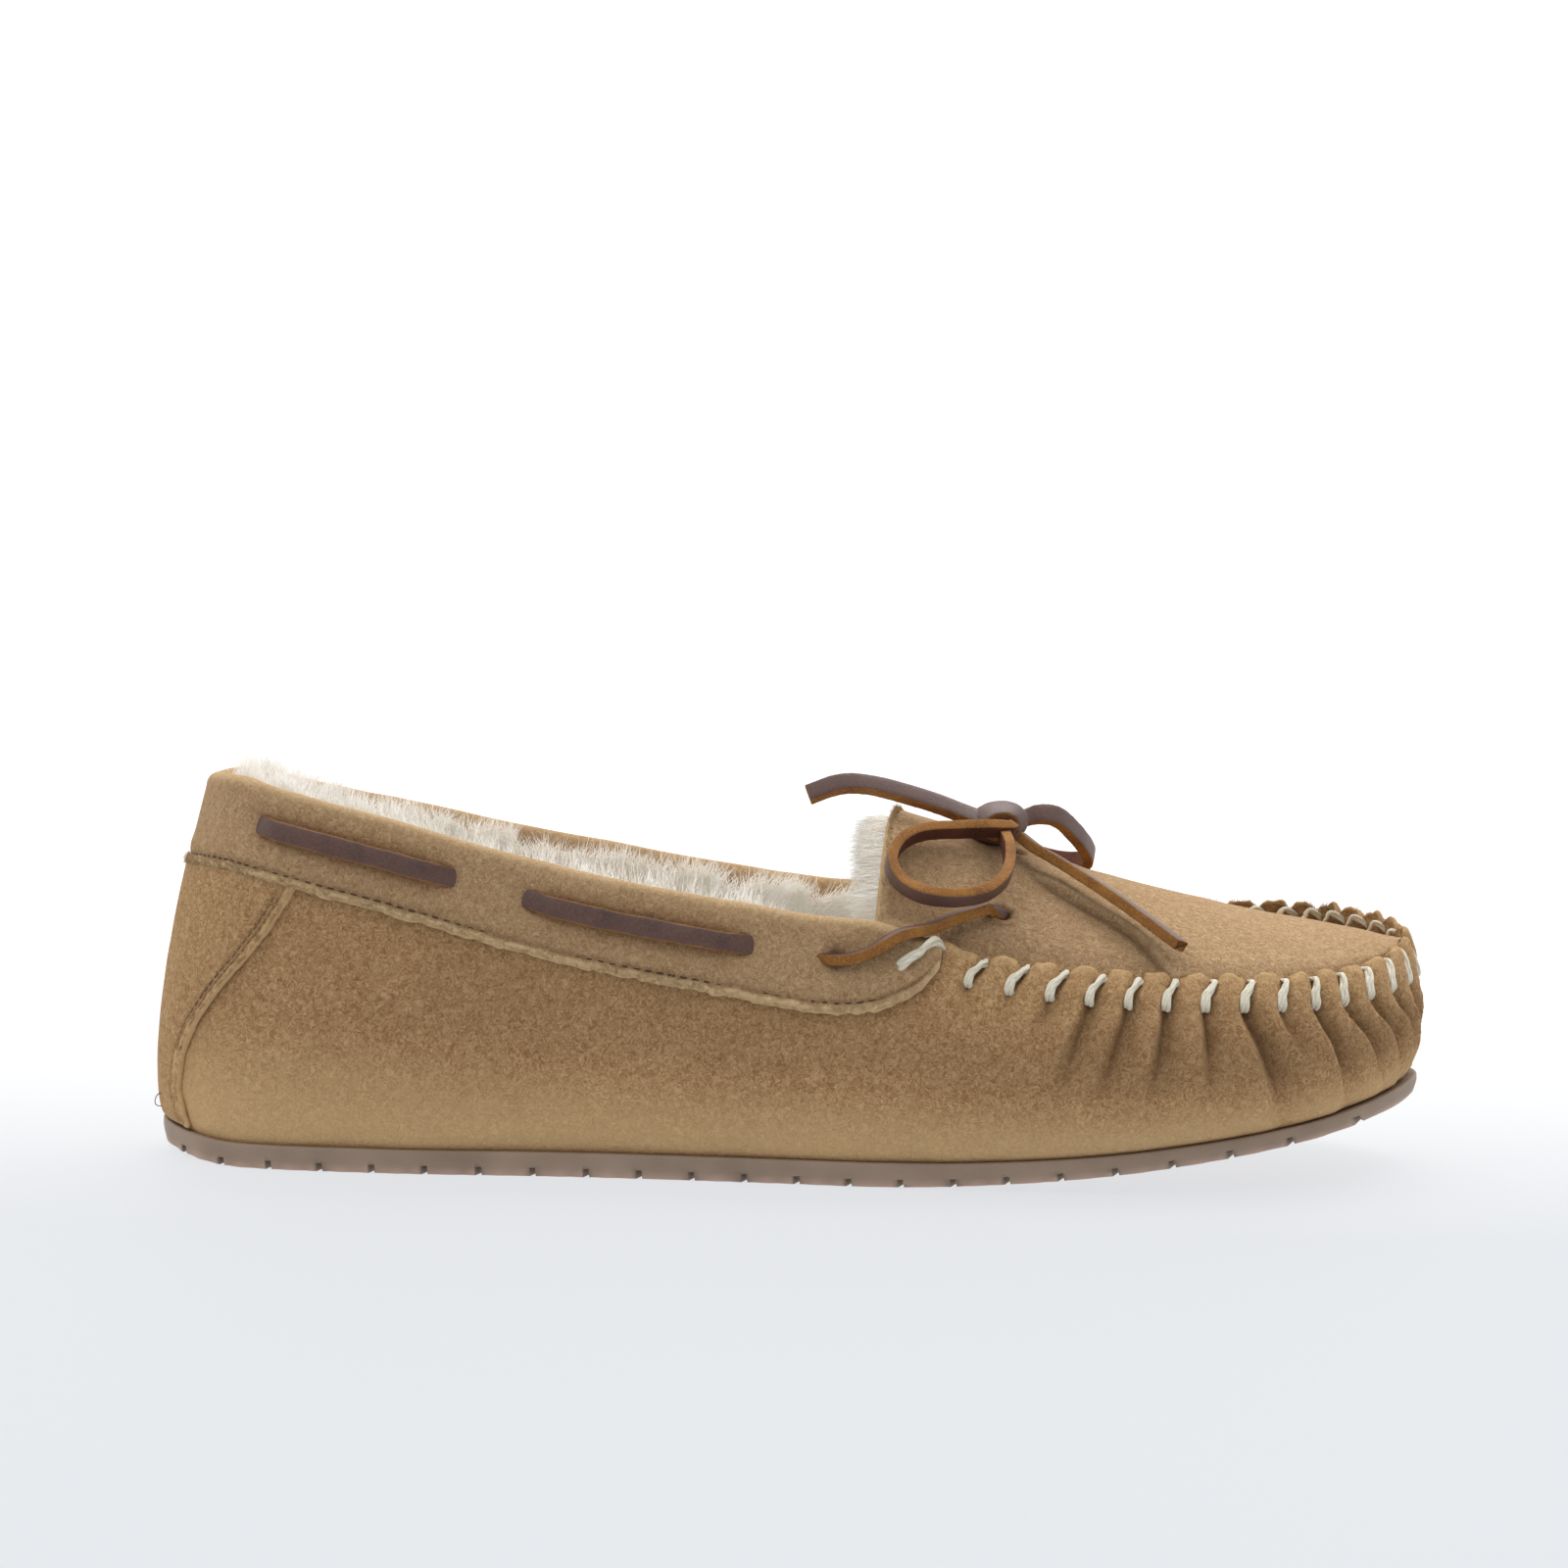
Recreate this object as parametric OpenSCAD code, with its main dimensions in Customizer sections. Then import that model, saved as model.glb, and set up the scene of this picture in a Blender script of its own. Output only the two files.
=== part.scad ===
// Suede moccasin slipper for the right foot, lined with faux fur, with a leather lace tied in a bow.
// Millimetres. X runs from heel to toe, Y from the outer side to the inner side, Z up from the ground.
// Every wall layer is the same surface at another depth, so the layers keep their gaps everywhere.

/* [Shell] */
// thickness of the suede panels
suede_t = 1.4; // [1:0.1:2]
// thickness of the overlays: collar and heel patch
overlay_t = 1.2; // [0.8:0.1:1.6]
// free gap between neighbouring layers
gap = 0.15; // [0.1:0.05:0.3]
// how far below the top edge the collar's lower edge runs
collar_drop = 18.4; // [14:0.2:24]
// radius of the rolled top edge of the collar
roll_r = 2.6; // [1.8:0.1:3.2]
// length of the collar's flap inside the shoe
flap_len = 4; // [2:0.5:8]
// how far the vamp runs up under the collar
tuck = 4; // [3:0.5:6]

/* [Sole] */
// outsole thickness under the heel and waist
sole_t = 5; // [4:0.2:8]
// outsole thinning towards the toe
sole_thin = 1.3; // [0:0.1:2]
// rise of the toe tip above the ground
toe_spring = 15; // [8:0.5:18]
// depth of the tread grooves
groove_d = 1.8; // [1:0.1:2.5]
// spacing of the tread grooves
groove_pitch = 11; // [9:0.5:16]
// lasting board thickness
board_t = 1.8; // [1.2:0.1:2.5]
// foam footbed thickness
foam_t = 5; // [3:0.5:8]
// height of the fur on the footbed
pile_t = 4; // [3:0.5:6]

/* [Lining] */
// thickness of the quarter lining with its fur
lining_t = 3.8; // [3:0.2:6]
// thickness of the forefoot lining
fore_lining_t = 2.6; // [2:0.2:4]
// thickness of the heel counter
counter_t = 1.1; // [0.8:0.1:1.6]

/* [Lace] */
// lace width
lace_w = 3.9; // [3.4:0.1:4.4]
// lace thickness
lace_t = 2.2; // [1.6:0.1:2.4]
// how far below the top edge the lace runs
lace_drop = 8; // [7:0.2:10]

/* [Stitching] */
// thickness of the whipstitch thread
whip_d = 1.7; // [1.2:0.1:2.2]
// number of whipstitches round the toe
whip_n = 29; // [20:1:36]
// length of a topstitch
top_len = 2.1; // [1.6:0.1:3]
// spacing of the topstitches
top_pitch = 2.9; // [2.4:0.1:4]
// thickness of the topstitch thread
top_d = 0.45; // [0.3:0.05:0.6]

/* [Hidden] */

suede = [0.66, 0.52, 0.35];
suede_dark = [0.58, 0.44, 0.28];
fur = [0.92, 0.90, 0.85];
lace_c = [0.36, 0.25, 0.22];
thread_c = [0.88, 0.84, 0.74];
dark_c = [0.25, 0.18, 0.14];

// Sixteen stations round the sole: heel back, outer side, toe tip (8), inner side.
plan = [[-129.2, 0], [-116, -24.5], [-84, -32], [-44, -33.5], [-4, -38], [36, -44.5], [74, -45.5],
        [109, -32], [128, 4], [114, 35], [80, 45.5], [42, 44], [2, 37], [-42, 31.5], [-84, 30.5],
        [-116, 24]];
// how far the wall bulges, how far its top leans in, and the height of its top, at each station
bulge = [3, 3, 3.5, 3, 3.5, 4, 4.5, 4, 3, 4, 4.5, 4, 3.5, 3, 3.5, 3];
lean_in = [9.5, 8.5, 6.5, 5, 5, 7, 7, 4.5, 2, 4.5, 7, 7.5, 5.5, 5, 6.5, 8.5];
top_z = [78, 78.3, 71.6, 61.5, 54.8, 47, 43.8, 43.5, 45.5, 47, 47.2, 50.5, 54.5, 62.5, 70.8, 77.5];
tip = 8;
full = 16;

function spline(a, b, c, d, f) = (2 * b + (c - a) * f + (2 * a - 5 * b + 4 * c - d) * f * f
    + (3 * b - a - 3 * c + d) * f * f * f) / 2;
function wrap(i) = ((i % full) + full) % full;
function wrap_s(s) = s < 0 ? s + full : s >= full ? s - full : s;
function around(tab, s) = let (i = floor(s))
    spline(tab[wrap(i - 1)], tab[wrap(i)], tab[wrap(i + 1)], tab[wrap(i + 2)], s - i);
// height of the wall's top: it rises a little where the collar passes the tongue
function top_of(s) = around(top_z, s) + 2.2 * exp(-pow(((s > tip ? full - s : s) - 4.5) / 0.26, 2));
function unit(v) = v / norm(v);
function clamp(v, lo, hi) = min(hi, max(lo, v));
// outward normal of the plan, in X and Y
function out_of(s) = let (d = unit(around(plan, s + 0.01) - around(plan, s - 0.01))) [d.y, -d.x];

// underside of the outsole: flat, with a toe spring and a slightly lifted heel edge
function ground(x) = toe_spring * pow(max(0, (x - 10) / 118), 1.8) + 2 * pow(max(0, (-x - 112) / 17), 2);
function feather(x) = ground(x) + sole_t - sole_thin * clamp((x - 20) / 80, 0, 1);

// point of the wall at station s, height share t, and depth d inwards (negative is outside)
function wall(s, t, d = 0) = let (
    p = around(plan, s),
    n = out_of(s),
    lean_pow = 1.15 + 3 * clamp((p.x - 10) / 50, 0, 1),
    o = -1.2 * pow(1 - t, 2) + around(bulge, s) * sin(180 * pow(t, 0.65))
        - around(lean_in, s) * pow(t, lean_pow) - d,
    z0 = feather(p.x))
    [p.x + n.x * o, p.y + n.y * o, z0 + (top_of(wrap_s(s)) - z0) * t];
// height share of a height above the feather line, and of a drop below the top edge
function share_up(s, h) = h / (top_of(wrap_s(s)) - feather(around(plan, s).x));
function share_down(s, drop) = 1 - share_up(s, drop);
function at_drop(s, drop, d) = wall(s, share_down(s, drop), d);

// Closed thin solid between two grids of points: outer, and inner, columns running the same way.
module sheet(outer, inner, ring = false) {
    ns = len(outer);
    nt = len(outer[0]);
    total = ns * nt;
    cols = ring ? ns : ns - 1;
    function a(i, j) = (i % ns) * nt + j;
    function b(i, j) = total + (i % ns) * nt + j;
    last = nt - 1;
    skin = [for (i = [0:cols - 1], j = [0:nt - 2], q = [
        [a(i, j), a(i, j + 1), a(i + 1, j + 1)],
        [a(i, j), a(i + 1, j + 1), a(i + 1, j)],
        [b(i, j), b(i + 1, j + 1), b(i, j + 1)],
        [b(i, j), b(i + 1, j), b(i + 1, j + 1)]]) q];
    rims = [for (i = [0:cols - 1], q = [
        [a(i, last), b(i, last), b(i + 1, last)],
        [a(i, last), b(i + 1, last), a(i + 1, last)],
        [a(i, 0), b(i + 1, 0), b(i, 0)],
        [a(i, 0), a(i + 1, 0), b(i + 1, 0)]]) q];
    e = ns - 1;
    ends = ring ? [] : [for (j = [0:nt - 2], q = [
        [a(0, j), b(0, j), b(0, j + 1)],
        [a(0, j), b(0, j + 1), a(0, j + 1)],
        [a(e, j), b(e, j + 1), b(e, j)],
        [a(e, j), a(e, j + 1), b(e, j + 1)]]) q];
    points = concat([for (c = outer, p = c) p], [for (c = inner, p = c) p]);
    polyhedron(points = points, faces = concat(skin, rims, ends), convexity = 8);
}

// ---- sole and footbed -------------------------------------------------------------------------
rows = 44;
function row_s(i) = tip / 2 * (1 - cos(180 * (i + 0.9) / (rows + 0.8)));
function edge_pt(s, o) = let (p = around(plan, s), n = out_of(s)) [p.x + n.x * o, p.y + n.y * o];
function lift(p, z) = [p.x, p.y, z];
across = [0, 0.25, 0.5, 0.75, 1];
function slab_row(s, o, over_ground, thick) = let (p = edge_pt(s, o), q = edge_pt(full - s, o))
    [for (k = across) let (m = p + (q - p) * k)
        lift(m, (thick ? feather(m.x) : ground(m.x)) + over_ground)];

module sole_blank() {
    sheet([for (i = [0:rows - 1]) slab_row(row_s(i), 0.7, -0.1, true)],
          [for (i = [0:rows - 1]) slab_row(row_s(i), 0.2, 0, false)]);
}

groove_w = 1.6;
groove_len = 58;
groove_sweep = 16;
module outsole() {
    color([0.5, 0.43, 0.37])
    difference() {
        sole_blank();
        for (x = [-120:groove_pitch:124], side = [-1, 1]) {
            slope = atan((ground(x + 1) - ground(x - 1)) / 2);
            translate([x, 0, ground(x)])
            rotate([0, -slope, 0])
            rotate([0, 0, side * groove_sweep])
            translate([-groove_w / 2, side > 0 ? 0.8 : -groove_len - 0.8, -groove_d])
            cube([groove_w, groove_len, 2 * groove_d]);
        }
    }
}

// a level layer inside the lining, between two heights over the feather line
// layers that nest with unlike facets get this much room
loose = 0.5;
inside_d = suede_t + gap + counter_t + gap + lining_t + loose;
function at_up(s, h, d) = wall(s, max(0, share_up(s, h)), d);
function bed_row(s, h, d) = let (p = at_up(s, h, d), q = at_up(full - s, h, d))
    [for (k = across) let (m = p + (q - p) * k) lift(m, feather(m.x) + h)];
module bed(h0, h1, d) {
    bed_rows = [for (i = [0:31]) tip / 2 * (1 - cos(180 * (i + 1.2) / 33.4))];
    sheet([for (s = bed_rows) bed_row(s, h1, d)], [for (s = bed_rows) bed_row(s, h0, d)]);
}
board_z = 0.15;
foam_z = board_z + board_t + gap;
pile_z = foam_z + foam_t + gap;
bed_top = pile_z + pile_t;
module lasting_board() {
    color([0.72, 0.6, 0.45]) bed(board_z, board_z + board_t, suede_t + 2 * loose);
}
module foam_footbed() {
    color([0.85, 0.82, 0.7]) bed(foam_z, foam_z + foam_t, inside_d);
}
module footbed_pile() {
    color(fur) bed(pile_z, bed_top, inside_d);
}

// ---- suede wall -------------------------------------------------------------------------------
// the wall is gathered at the toe rim, and runs under the collar behind it
collar_end = 4.84;
vamp_open = 4.4;
function ring_drop(s) = let (k = s > tip ? full - s : s)
    (collar_drop - tuck) * clamp((collar_end - 0.1 - k) / (collar_end - 0.1 - vamp_open), 0, 1);
module vamp() {
    cols = 72;
    rise = 8;
    color(suede_dark)
    sheet([for (i = [0:cols - 1]) let (s = full * i / cols) [for (j = [0:rise])
               wall(s, share_down(s, ring_drop(s)) * j / rise, 0)]],
          [for (i = [0:cols - 1]) let (s = full * i / cols) [for (j = [0:rise])
               wall(s, share_down(s, ring_drop(s)) * j / rise, suede_t)]], true);
}

// half width of the heel patch in stations, at height share t
patch_half = [0.62, 0.54, 0.6, 0.72, 0.88, 1.1, 1.32, 1.55, 1.8];
function patch_at(t) = let (k = clamp(t, 0, 0.69) * 10, i = floor(k))
    patch_half[i] + (patch_half[i + 1] - patch_half[i]) * (k - i);
module heel_patch() {
    function t_of(s, j) = share_down(s, collar_drop + 0.3) * j;
    function pt(u, j, d) = let (s0 = u * patch_at(j * 0.73), t = t_of(s0, 0.02 + 0.98 * j))
        wall(s0, t, d);
    color(suede_dark)
    sheet([for (u = [-1:0.125:1]) [for (j = [0:0.125:1]) pt(u, j, -gap - overlay_t)]],
          [for (u = [-1:0.125:1]) [for (j = [0:0.125:1]) pt(u, j, -gap)]]);
}

counter_half = 2.1;
module heel_counter() {
    color([0.8, 0.75, 0.62])
    sheet([for (s = [-counter_half:0.21:counter_half + 0.01]) [for (t = [0.08:0.1:0.68])
               wall(s, t, suede_t + gap)]],
          [for (s = [-counter_half:0.21:counter_half + 0.01]) [for (t = [0.08:0.1:0.68])
               wall(s, t, suede_t + gap + counter_t)]]);
}

// The collar goes up the outside, rolls over the top and ends in a short flap inside.
// Its lower edge curls up at the front to meet the rim.
function curl(s) = let (k = abs(s))
    k < 4.3 ? collar_drop : collar_drop * pow(max(0, 1 - pow((k - 4.3) / (collar_end - 4.3), 2.2)), 0.8);
collar_steps = 5;
function collar_path(s, r) = let (
    n = out_of(s),
    d_mid = -gap - overlay_t + roll_r,
    top = wall(s, share_down(s, roll_r), d_mid),
    foot = max(curl(s), roll_r + 0.4),
    out = d_mid - r)
    concat(
        [for (j = [0:collar_steps]) at_drop(s, foot + (roll_r - foot) * j / collar_steps, out)],
        [for (a = [30:30:180]) top + [n.x * r * cos(a), n.y * r * cos(a), r * sin(a)]],
        [let (q = at_drop(s, roll_r + flap_len, d_mid)) q - [n.x, n.y, 0] * r]);
module collar_shell() {
    ends = collar_end - 0.04;
    cols = 58;
    ss = [for (i = [0:cols]) let (k = 2 * i / cols - 1) ends * sign(k) * pow(abs(k), 0.85)];
    color(suede)
    sheet([for (s = ss) collar_path(s, roll_r)], [for (s = ss) collar_path(s, roll_r - overlay_t)]);
}

// ---- lining -----------------------------------------------------------------------------------
lining_d = suede_t + gap + counter_t + gap;
// both linings stand on the lasting board
lining_foot = foam_z;
module quarter_lining() {
    ends = 4.62;
    function base(s) = share_up(s, lining_foot);
    function col(s, d) = let (cut = share_down(s, roll_r + flap_len + 0.8))
        [for (j = [0:6]) wall(s, base(s) + (cut - base(s)) * j / 6, d)];
    cols = 52;
    color(fur)
    sheet([for (i = [0:cols]) col(-ends + 2 * ends * i / cols, lining_d)],
          [for (i = [0:cols]) col(-ends + 2 * ends * i / cols, lining_d + lining_t)]);
}
fore_d = suede_t + loose;
fore_drop = 6;
module forefoot_lining() {
    s0 = 4.72;
    cols = 30;
    function col(s, d) = let (base = share_up(s, lining_foot), cut = share_down(s, fore_drop))
        [for (j = [0:5]) wall(s, base + (cut - base) * j / 5, d)];
    color(fur)
    sheet([for (i = [0:cols]) col(s0 + (full - 2 * s0) * i / cols, fore_d)],
          [for (i = [0:cols]) col(s0 + (full - 2 * s0) * i / cols, fore_d + fore_lining_t)]);
}

// ---- plug and tongue --------------------------------------------------------------------------
// crest heights from the tongue's edge to the toe, by X
crest = [[17, 73.5], [28, 70], [47, 64], [60, 59.5], [79, 54.5], [97, 50.5], [112, 48], [127, 46]];
function crest_z(x) = lookup(x, crest);
plug_s0 = 4.84;
plug_s1 = 7.72;
tongue_u = -0.13;
plug_t = 1.5;
rim_d = suede_t + gap;
// the tongue's sides step in behind the collar's flap
function plug_side(u, s) = rim_d + (2 * roll_r + 0.2 - overlay_t) * clamp(-u / 0.06 + 0.35, 0, 1);
function plug_edge(u, inner_side) = let (
    k = plug_s0 + (plug_s1 - plug_s0) * u,
    s = inner_side ? full - k : k)
    wall(s, share_down(s, 0.7), plug_side(u, s));
function plug_pt(u, v, deep = 0) = let (
    p = plug_edge(u, false),
    q = plug_edge(u, true),
    m = (p + q) / 2,
    w = (q.y - p.y) / 2,
    c = crest_z(m.x) - m.z,
    pull = deep / w)
    p + (q - p) * (1 + v * (1 - pull)) / 2 + [0, 0, c * (1 - pow(abs(v), 2.2)) - deep];
module plug_shell() {
    us = [tongue_u, -0.09, -0.05, -0.02, 0, 0.03, 0.08, 0.15, 0.23, 0.31, 0.39, 0.47, 0.55, 0.63,
          0.71, 0.79, 0.86, 0.92, 0.97, 1];
    vs = [-1, -0.95, -0.87, -0.76, -0.62, -0.45, -0.25, 0, 0.25, 0.45, 0.62, 0.76, 0.87, 0.95, 1];
    color(suede)
    sheet([for (u = us) [for (v = vs) plug_pt(u, v)]], [for (u = us) [for (v = vs) plug_pt(u, v, plug_t)]]);
}
under_lace = lace_t + 1.9;
module plug_lining() {
    us = [tongue_u - 0.03, -0.08, 0, 0.1, 0.2, 0.3, 0.4, 0.5, 0.6, 0.68];
    vs = [-0.8, -0.6, -0.4, -0.2, 0, 0.2, 0.4, 0.6, 0.8];
    lo = plug_t + under_lace;
    color(fur)
    sheet([for (u = us) [for (v = vs) plug_pt(u, v, lo)]],
          [for (u = us) [for (v = vs) plug_pt(u, v, lo + fore_lining_t)]]);
}

// ---- lace ------------------------------------------------------------------------------------
// Strip through frames [centre, face normal, half width]; smooth between the given frames.
function mix_frames(fr, n) = [for (i = [0:len(fr) - 2], k = [0:n - 1]) let (
    f = k / n,
    a = fr[max(0, i - 1)],
    b = fr[i],
    c = fr[i + 1],
    d = fr[min(len(fr) - 1, i + 2)])
    [for (q = [0:2]) spline(a[q], b[q], c[q], d[q], f)]];
function smooth(fr, n) = concat(mix_frames(fr, n), [fr[len(fr) - 1]]);
module strip(fr, t = lace_t) {
    last = len(fr) - 1;
    function tan_at(i) = unit(fr[min(last, i + 1)][0] - fr[max(0, i - 1)][0]);
    function side_at(i) = unit(cross(fr[i][1], tan_at(i)));
    function face_at(i) = unit(cross(tan_at(i), side_at(i)));
    sheet([for (i = [0:last]) [for (k = [-1, 1])
               fr[i][0] + side_at(i) * fr[i][2] * k + face_at(i) * t / 2]],
          [for (i = [0:last]) [for (k = [-1, 1])
               fr[i][0] + side_at(i) * fr[i][2] * k - face_at(i) * t / 2]]);
}

half = lace_w / 2;
lace_out = -gap - overlay_t - gap - lace_t / 2;
lace_in = lace_t / 2 + 0.1;
// stations where the lace dives into the collar or comes out again
dives = [[1.15, lace_in], [1.33, lace_out], [2.33, lace_out], [2.5, lace_in], [2.68, lace_in],
         [2.85, lace_out], [3.75, lace_out], [3.92, lace_in], [4.2, lace_in], [4.38, lace_out]];
slots = [1.24, 2.415, 2.765, 3.835, 4.29];
function wall_n(s, t) = unit(cross(wall(s + 0.03, t) - wall(s - 0.03, t), wall(s, t + 0.03) - wall(s, t - 0.03)));
function in_collar(s) = let (t = share_down(s, lace_drop))
    [wall(s, t, lookup(abs(s), dives)), wall_n(s, t), half];
function roll_frame(s, a) = let (
    n = out_of(s),
    m = wall(s, share_down(s, roll_r), -gap - overlay_t + roll_r),
    k = s < 0 ? -1 : 1,
    u = [n.x * cos(a), n.y * cos(a), sin(a)])
    [m + u * (roll_r + 2 * gap + lace_t / 2), u, half];
eyelet = [0.09, 0.75];
crest_hole = [0.1, 0.13];
hole_r = 2.4;
squeezed = 1.15;
// from the collar's last slot over the rim and through the eyelet, then under the plug to the knot
function over_plug(side) = let (
    k = side > 0 ? -1 : 1,
    up = [0, k * 0.25, 1],
    under = plug_t + gap + lace_t / 2 + 0.5)
    [[plug_pt(-0.01, k * 0.93, -2.4), up, half],
     [plug_pt(0.03, k * 0.87, -2.3), up, half],
     [plug_pt(0.06, k * 0.8, -2), [0.4, k * 0.3, 0.9], squeezed],
     [plug_pt(eyelet[0], k * eyelet[1], 0.7), [0.95, k * 0.1, -0.1], squeezed],
     [plug_pt(eyelet[0], k * 0.67, under), [0.2, -k * 0.7, -0.75], squeezed],
     [plug_pt(0.1, k * 0.48, under), [0, -k * 0.4, -0.9], half * 0.8],
     [plug_pt(0.105, k * 0.27, under), [0, -k * 0.3, -0.95], squeezed],
     [plug_pt(crest_hole[0], k * crest_hole[1], plug_t / 2), [0, -k, 0], squeezed * 0.8]];
function rim_part(side) = [for (q = [[4.45, 6.6], [4.51, 4.8]]) let (t = share_down(side * q[0], q[1]))
        [wall(side * q[0], t, lace_out - 0.1), wall_n(side * q[0], t), half]];
function roll_part(side) = [for (q = [[4.58, 25], [4.66, 65], [4.74, 100]]) roll_frame(side * q[0], q[1])];
function flip(fr) = [for (i = [len(fr) - 1:-1:0]) fr[i]];
module lace_run() {
    side_fr = [for (side = [-1, 1]) smooth(concat(rim_part(side), roll_part(side), over_plug(side)), 4)];
    collar_fr = [for (s = [-4.38:0.07:4.385]) in_collar(s)];
    color(lace_c) strip(concat(flip(side_fr[0]), collar_fr, side_fr[1]));
}

// slots in the collar for the lace, and holes in the plug
module slot_cut(s) {
    c = at_drop(s, lace_drop, -gap - overlay_t / 2);
    n = wall_n(s, share_down(s, lace_drop));
    t = unit(at_drop(s + 0.05, lace_drop, 0) - at_drop(s - 0.05, lace_drop, 0));
    w = cross(n, t);
    v = cross(w, n);
    multmatrix([[v.x, w.x, n.x, c.x], [v.y, w.y, n.y, c.y], [v.z, w.z, n.z, c.z], [0, 0, 0, 1]])
    cube([8.6, lace_w + 0.9, 5], center = true);
}
module collar() {
    color(suede)
    difference() {
        collar_shell();
        for (s = slots, side = [-1, 1]) slot_cut(side * s);
    }
}
module plug() {
    color(suede)
    difference() {
        plug_shell();
        for (k = [-1, 1], h = [eyelet, crest_hole])
            translate(plug_pt(h[0], k * h[1]))
            rotate([-k * (h[1] > 0.5 ? 38 : 5), 0, 0])
            cylinder(r = hole_r, h = 12, center = true, $fn = 32);
    }
}

// ---- bow --------------------------------------------------------------------------------------
knot = [43, -6, 69.9];
module bow_knot() {
    color(lace_c)
    translate(knot)
    rotate([82, 0, 0])
    hull() {
        scale([1.26, 1, 1]) cylinder(r = 4.1, h = 3.4, center = true, $fn = 36);
        scale([1.02, 0.8, 1]) cylinder(r = 4.1, h = 5.4, center = true, $fn = 36);
    }
}
// The outer loop lies on the plug's slope, standing on its edge, as does the inner one.
slope_out = [0.1, -0.75, 0.65];
slope_in = [0.15, 0.6, 0.79];
// frames of a strip that stands on its edge: the width runs along up, so the face is across it
module edge_strip(pts, up) {
    n = len(pts) - 1;
    fr = [for (i = [0:n]) let (
        t = unit(pts[min(n, i + 1)] - pts[max(0, i - 1)]),
        end = min(i, n - i))
        [pts[i], cross(t, up), half * (end == 0 ? 0.6 : end == 1 ? 0.85 : 1)]];
    color(lace_c) strip(smooth(fr, 4));
}
module bow_loop_outer() {
    edge_strip([[43, -11.8, 69.6], [38.6, -12.4, 69.8], [32.4, -13.4, 69.6], [26, -15.4, 69.3],
                [21.6, -18.6, 67.8], [19.4, -22.2, 65.2], [19.4, -26, 62.6], [21.6, -29.6, 60],
                [25.8, -33.2, 58.4], [31.8, -35.2, 58], [37.6, -34.2, 58.9], [41.2, -30, 60.8],
                [42.8, -24, 63.1], [43.1, -17.9, 65.8]], slope_out);
}
module bow_loop_inner() {
    edge_strip([[46.8, -0.7, 70.9], [50, 1, 71.5], [53.6, 4.2, 70.6], [56.8, 8.6, 67.6],
                [59.4, 13.4, 64.3], [60.8, 18.2, 61.4], [60, 22.8, 59.6], [56.2, 26.4, 59],
                [50.8, 27.4, 59.9], [46.4, 24.6, 62.2], [44, 19.2, 65.3], [43.4, 13.4, 67.7],
                [43.6, 7.2, 69.4], [44, 2.6, 70.2]], slope_in);
}
module bow_tail_rear() {
    face = [0.25, -0.85, 0.5];
    pts = [[36.4, -5.4, 71.4], [33, -5.2, 72.4], [28.6, -5, 74], [21.6, -4.6, 76], [14.4, -4.2, 77.6],
           [8.6, -4, 77.6], [2.2, -4.4, 75.4]];
    color(lace_c) strip(smooth([for (i = [0:len(pts) - 1]) [pts[i], face, half * (i == 0 ? 0.7 : 1)]], 4));
}
module bow_tail_front() {
    face = [0.35, 0.05, 0.9];
    pts = [[48.8, -11, 65.6], [53.6, -14.2, 63.2], [59.4, -18.8, 60.1], [65.6, -24.2, 56.6],
           [71.8, -30, 52.7], [77.4, -35, 49]];
    color(lace_c) strip(smooth([for (i = [0:len(pts) - 1]) [pts[i], face, half * (i == 0 ? 0.7 : 1)]], 4));
}

// ---- stitching --------------------------------------------------------------------------------
// closed round tube through points, with six sides
tube_sides = 6;
module tube(pts, r) {
    n = len(pts) - 1;
    function t_at(i) = unit(pts[min(n, i + 1)] - pts[max(0, i - 1)]);
    function u_at(i) = let (t = t_at(i), w = cross([0.6 * pts[0].x, 0.6 * pts[0].y, 1], t)) unit(cross(t, unit(w)));
    ring = [for (i = [0:n], k = [0:tube_sides - 1]) let (
        t = t_at(i),
        u = u_at(i),
        v = cross(t, u),
        a = 360 * k / tube_sides)
        pts[i] + u * r * cos(a) + v * r * sin(a)];
    side = [for (i = [0:n - 1], k = [0:tube_sides - 1], q = [0, 1]) let (
        a = i * tube_sides + k,
        b = i * tube_sides + (k + 1) % tube_sides)
        q == 0 ? [a, b + tube_sides, b] : [a, a + tube_sides, b + tube_sides]];
    caps = [[for (k = [0:tube_sides - 1]) k],
            [for (k = [tube_sides - 1:-1:0]) n * tube_sides + k]];
    polyhedron(points = ring, faces = concat(side, caps), convexity = 4);
}
whip_r = whip_d / 2;
whip_first = 5.03;
whip_last = full - 5.03;
whip_lean = 0.075;
whip_gap = 0.5;
whip_up = 2;
function at_rim(s, drop, d) = wall(s, share_down(s, drop), d);
function near_plug(s, off, up) = let (
    inner_side = s > tip,
    k = inner_side ? full - s : s,
    u = (k - plug_s0) / (plug_s1 - plug_s0),
    p = plug_edge(u, inner_side),
    n = out_of(s),
    m = (plug_edge(u, false) + plug_edge(u, true)) / 2,
    w = norm(plug_edge(u, true) - plug_edge(u, false)) / 2,
    c = crest_z(m.x) - m.z,
    v = 1 - min(0.9, off / w))
    [p.x - n.x * off, p.y - n.y * off, p.z + c * (1 - pow(v, 2.2)) + up];
function whip_path(s) = let (s0 = s - whip_lean, s1 = s - whip_lean / 2)
    [at_rim(s0, 5.8, -whip_r - whip_gap), at_rim(s0, 3.6, -whip_r - whip_gap),
     at_rim(s1, 1.2, -whip_r - whip_gap), at_rim(s1, -1.05, -1), at_rim(s, -1.75, 1),
     near_plug(s, 1.6, whip_up), near_plug(s, 3.2, whip_up)];
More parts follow.
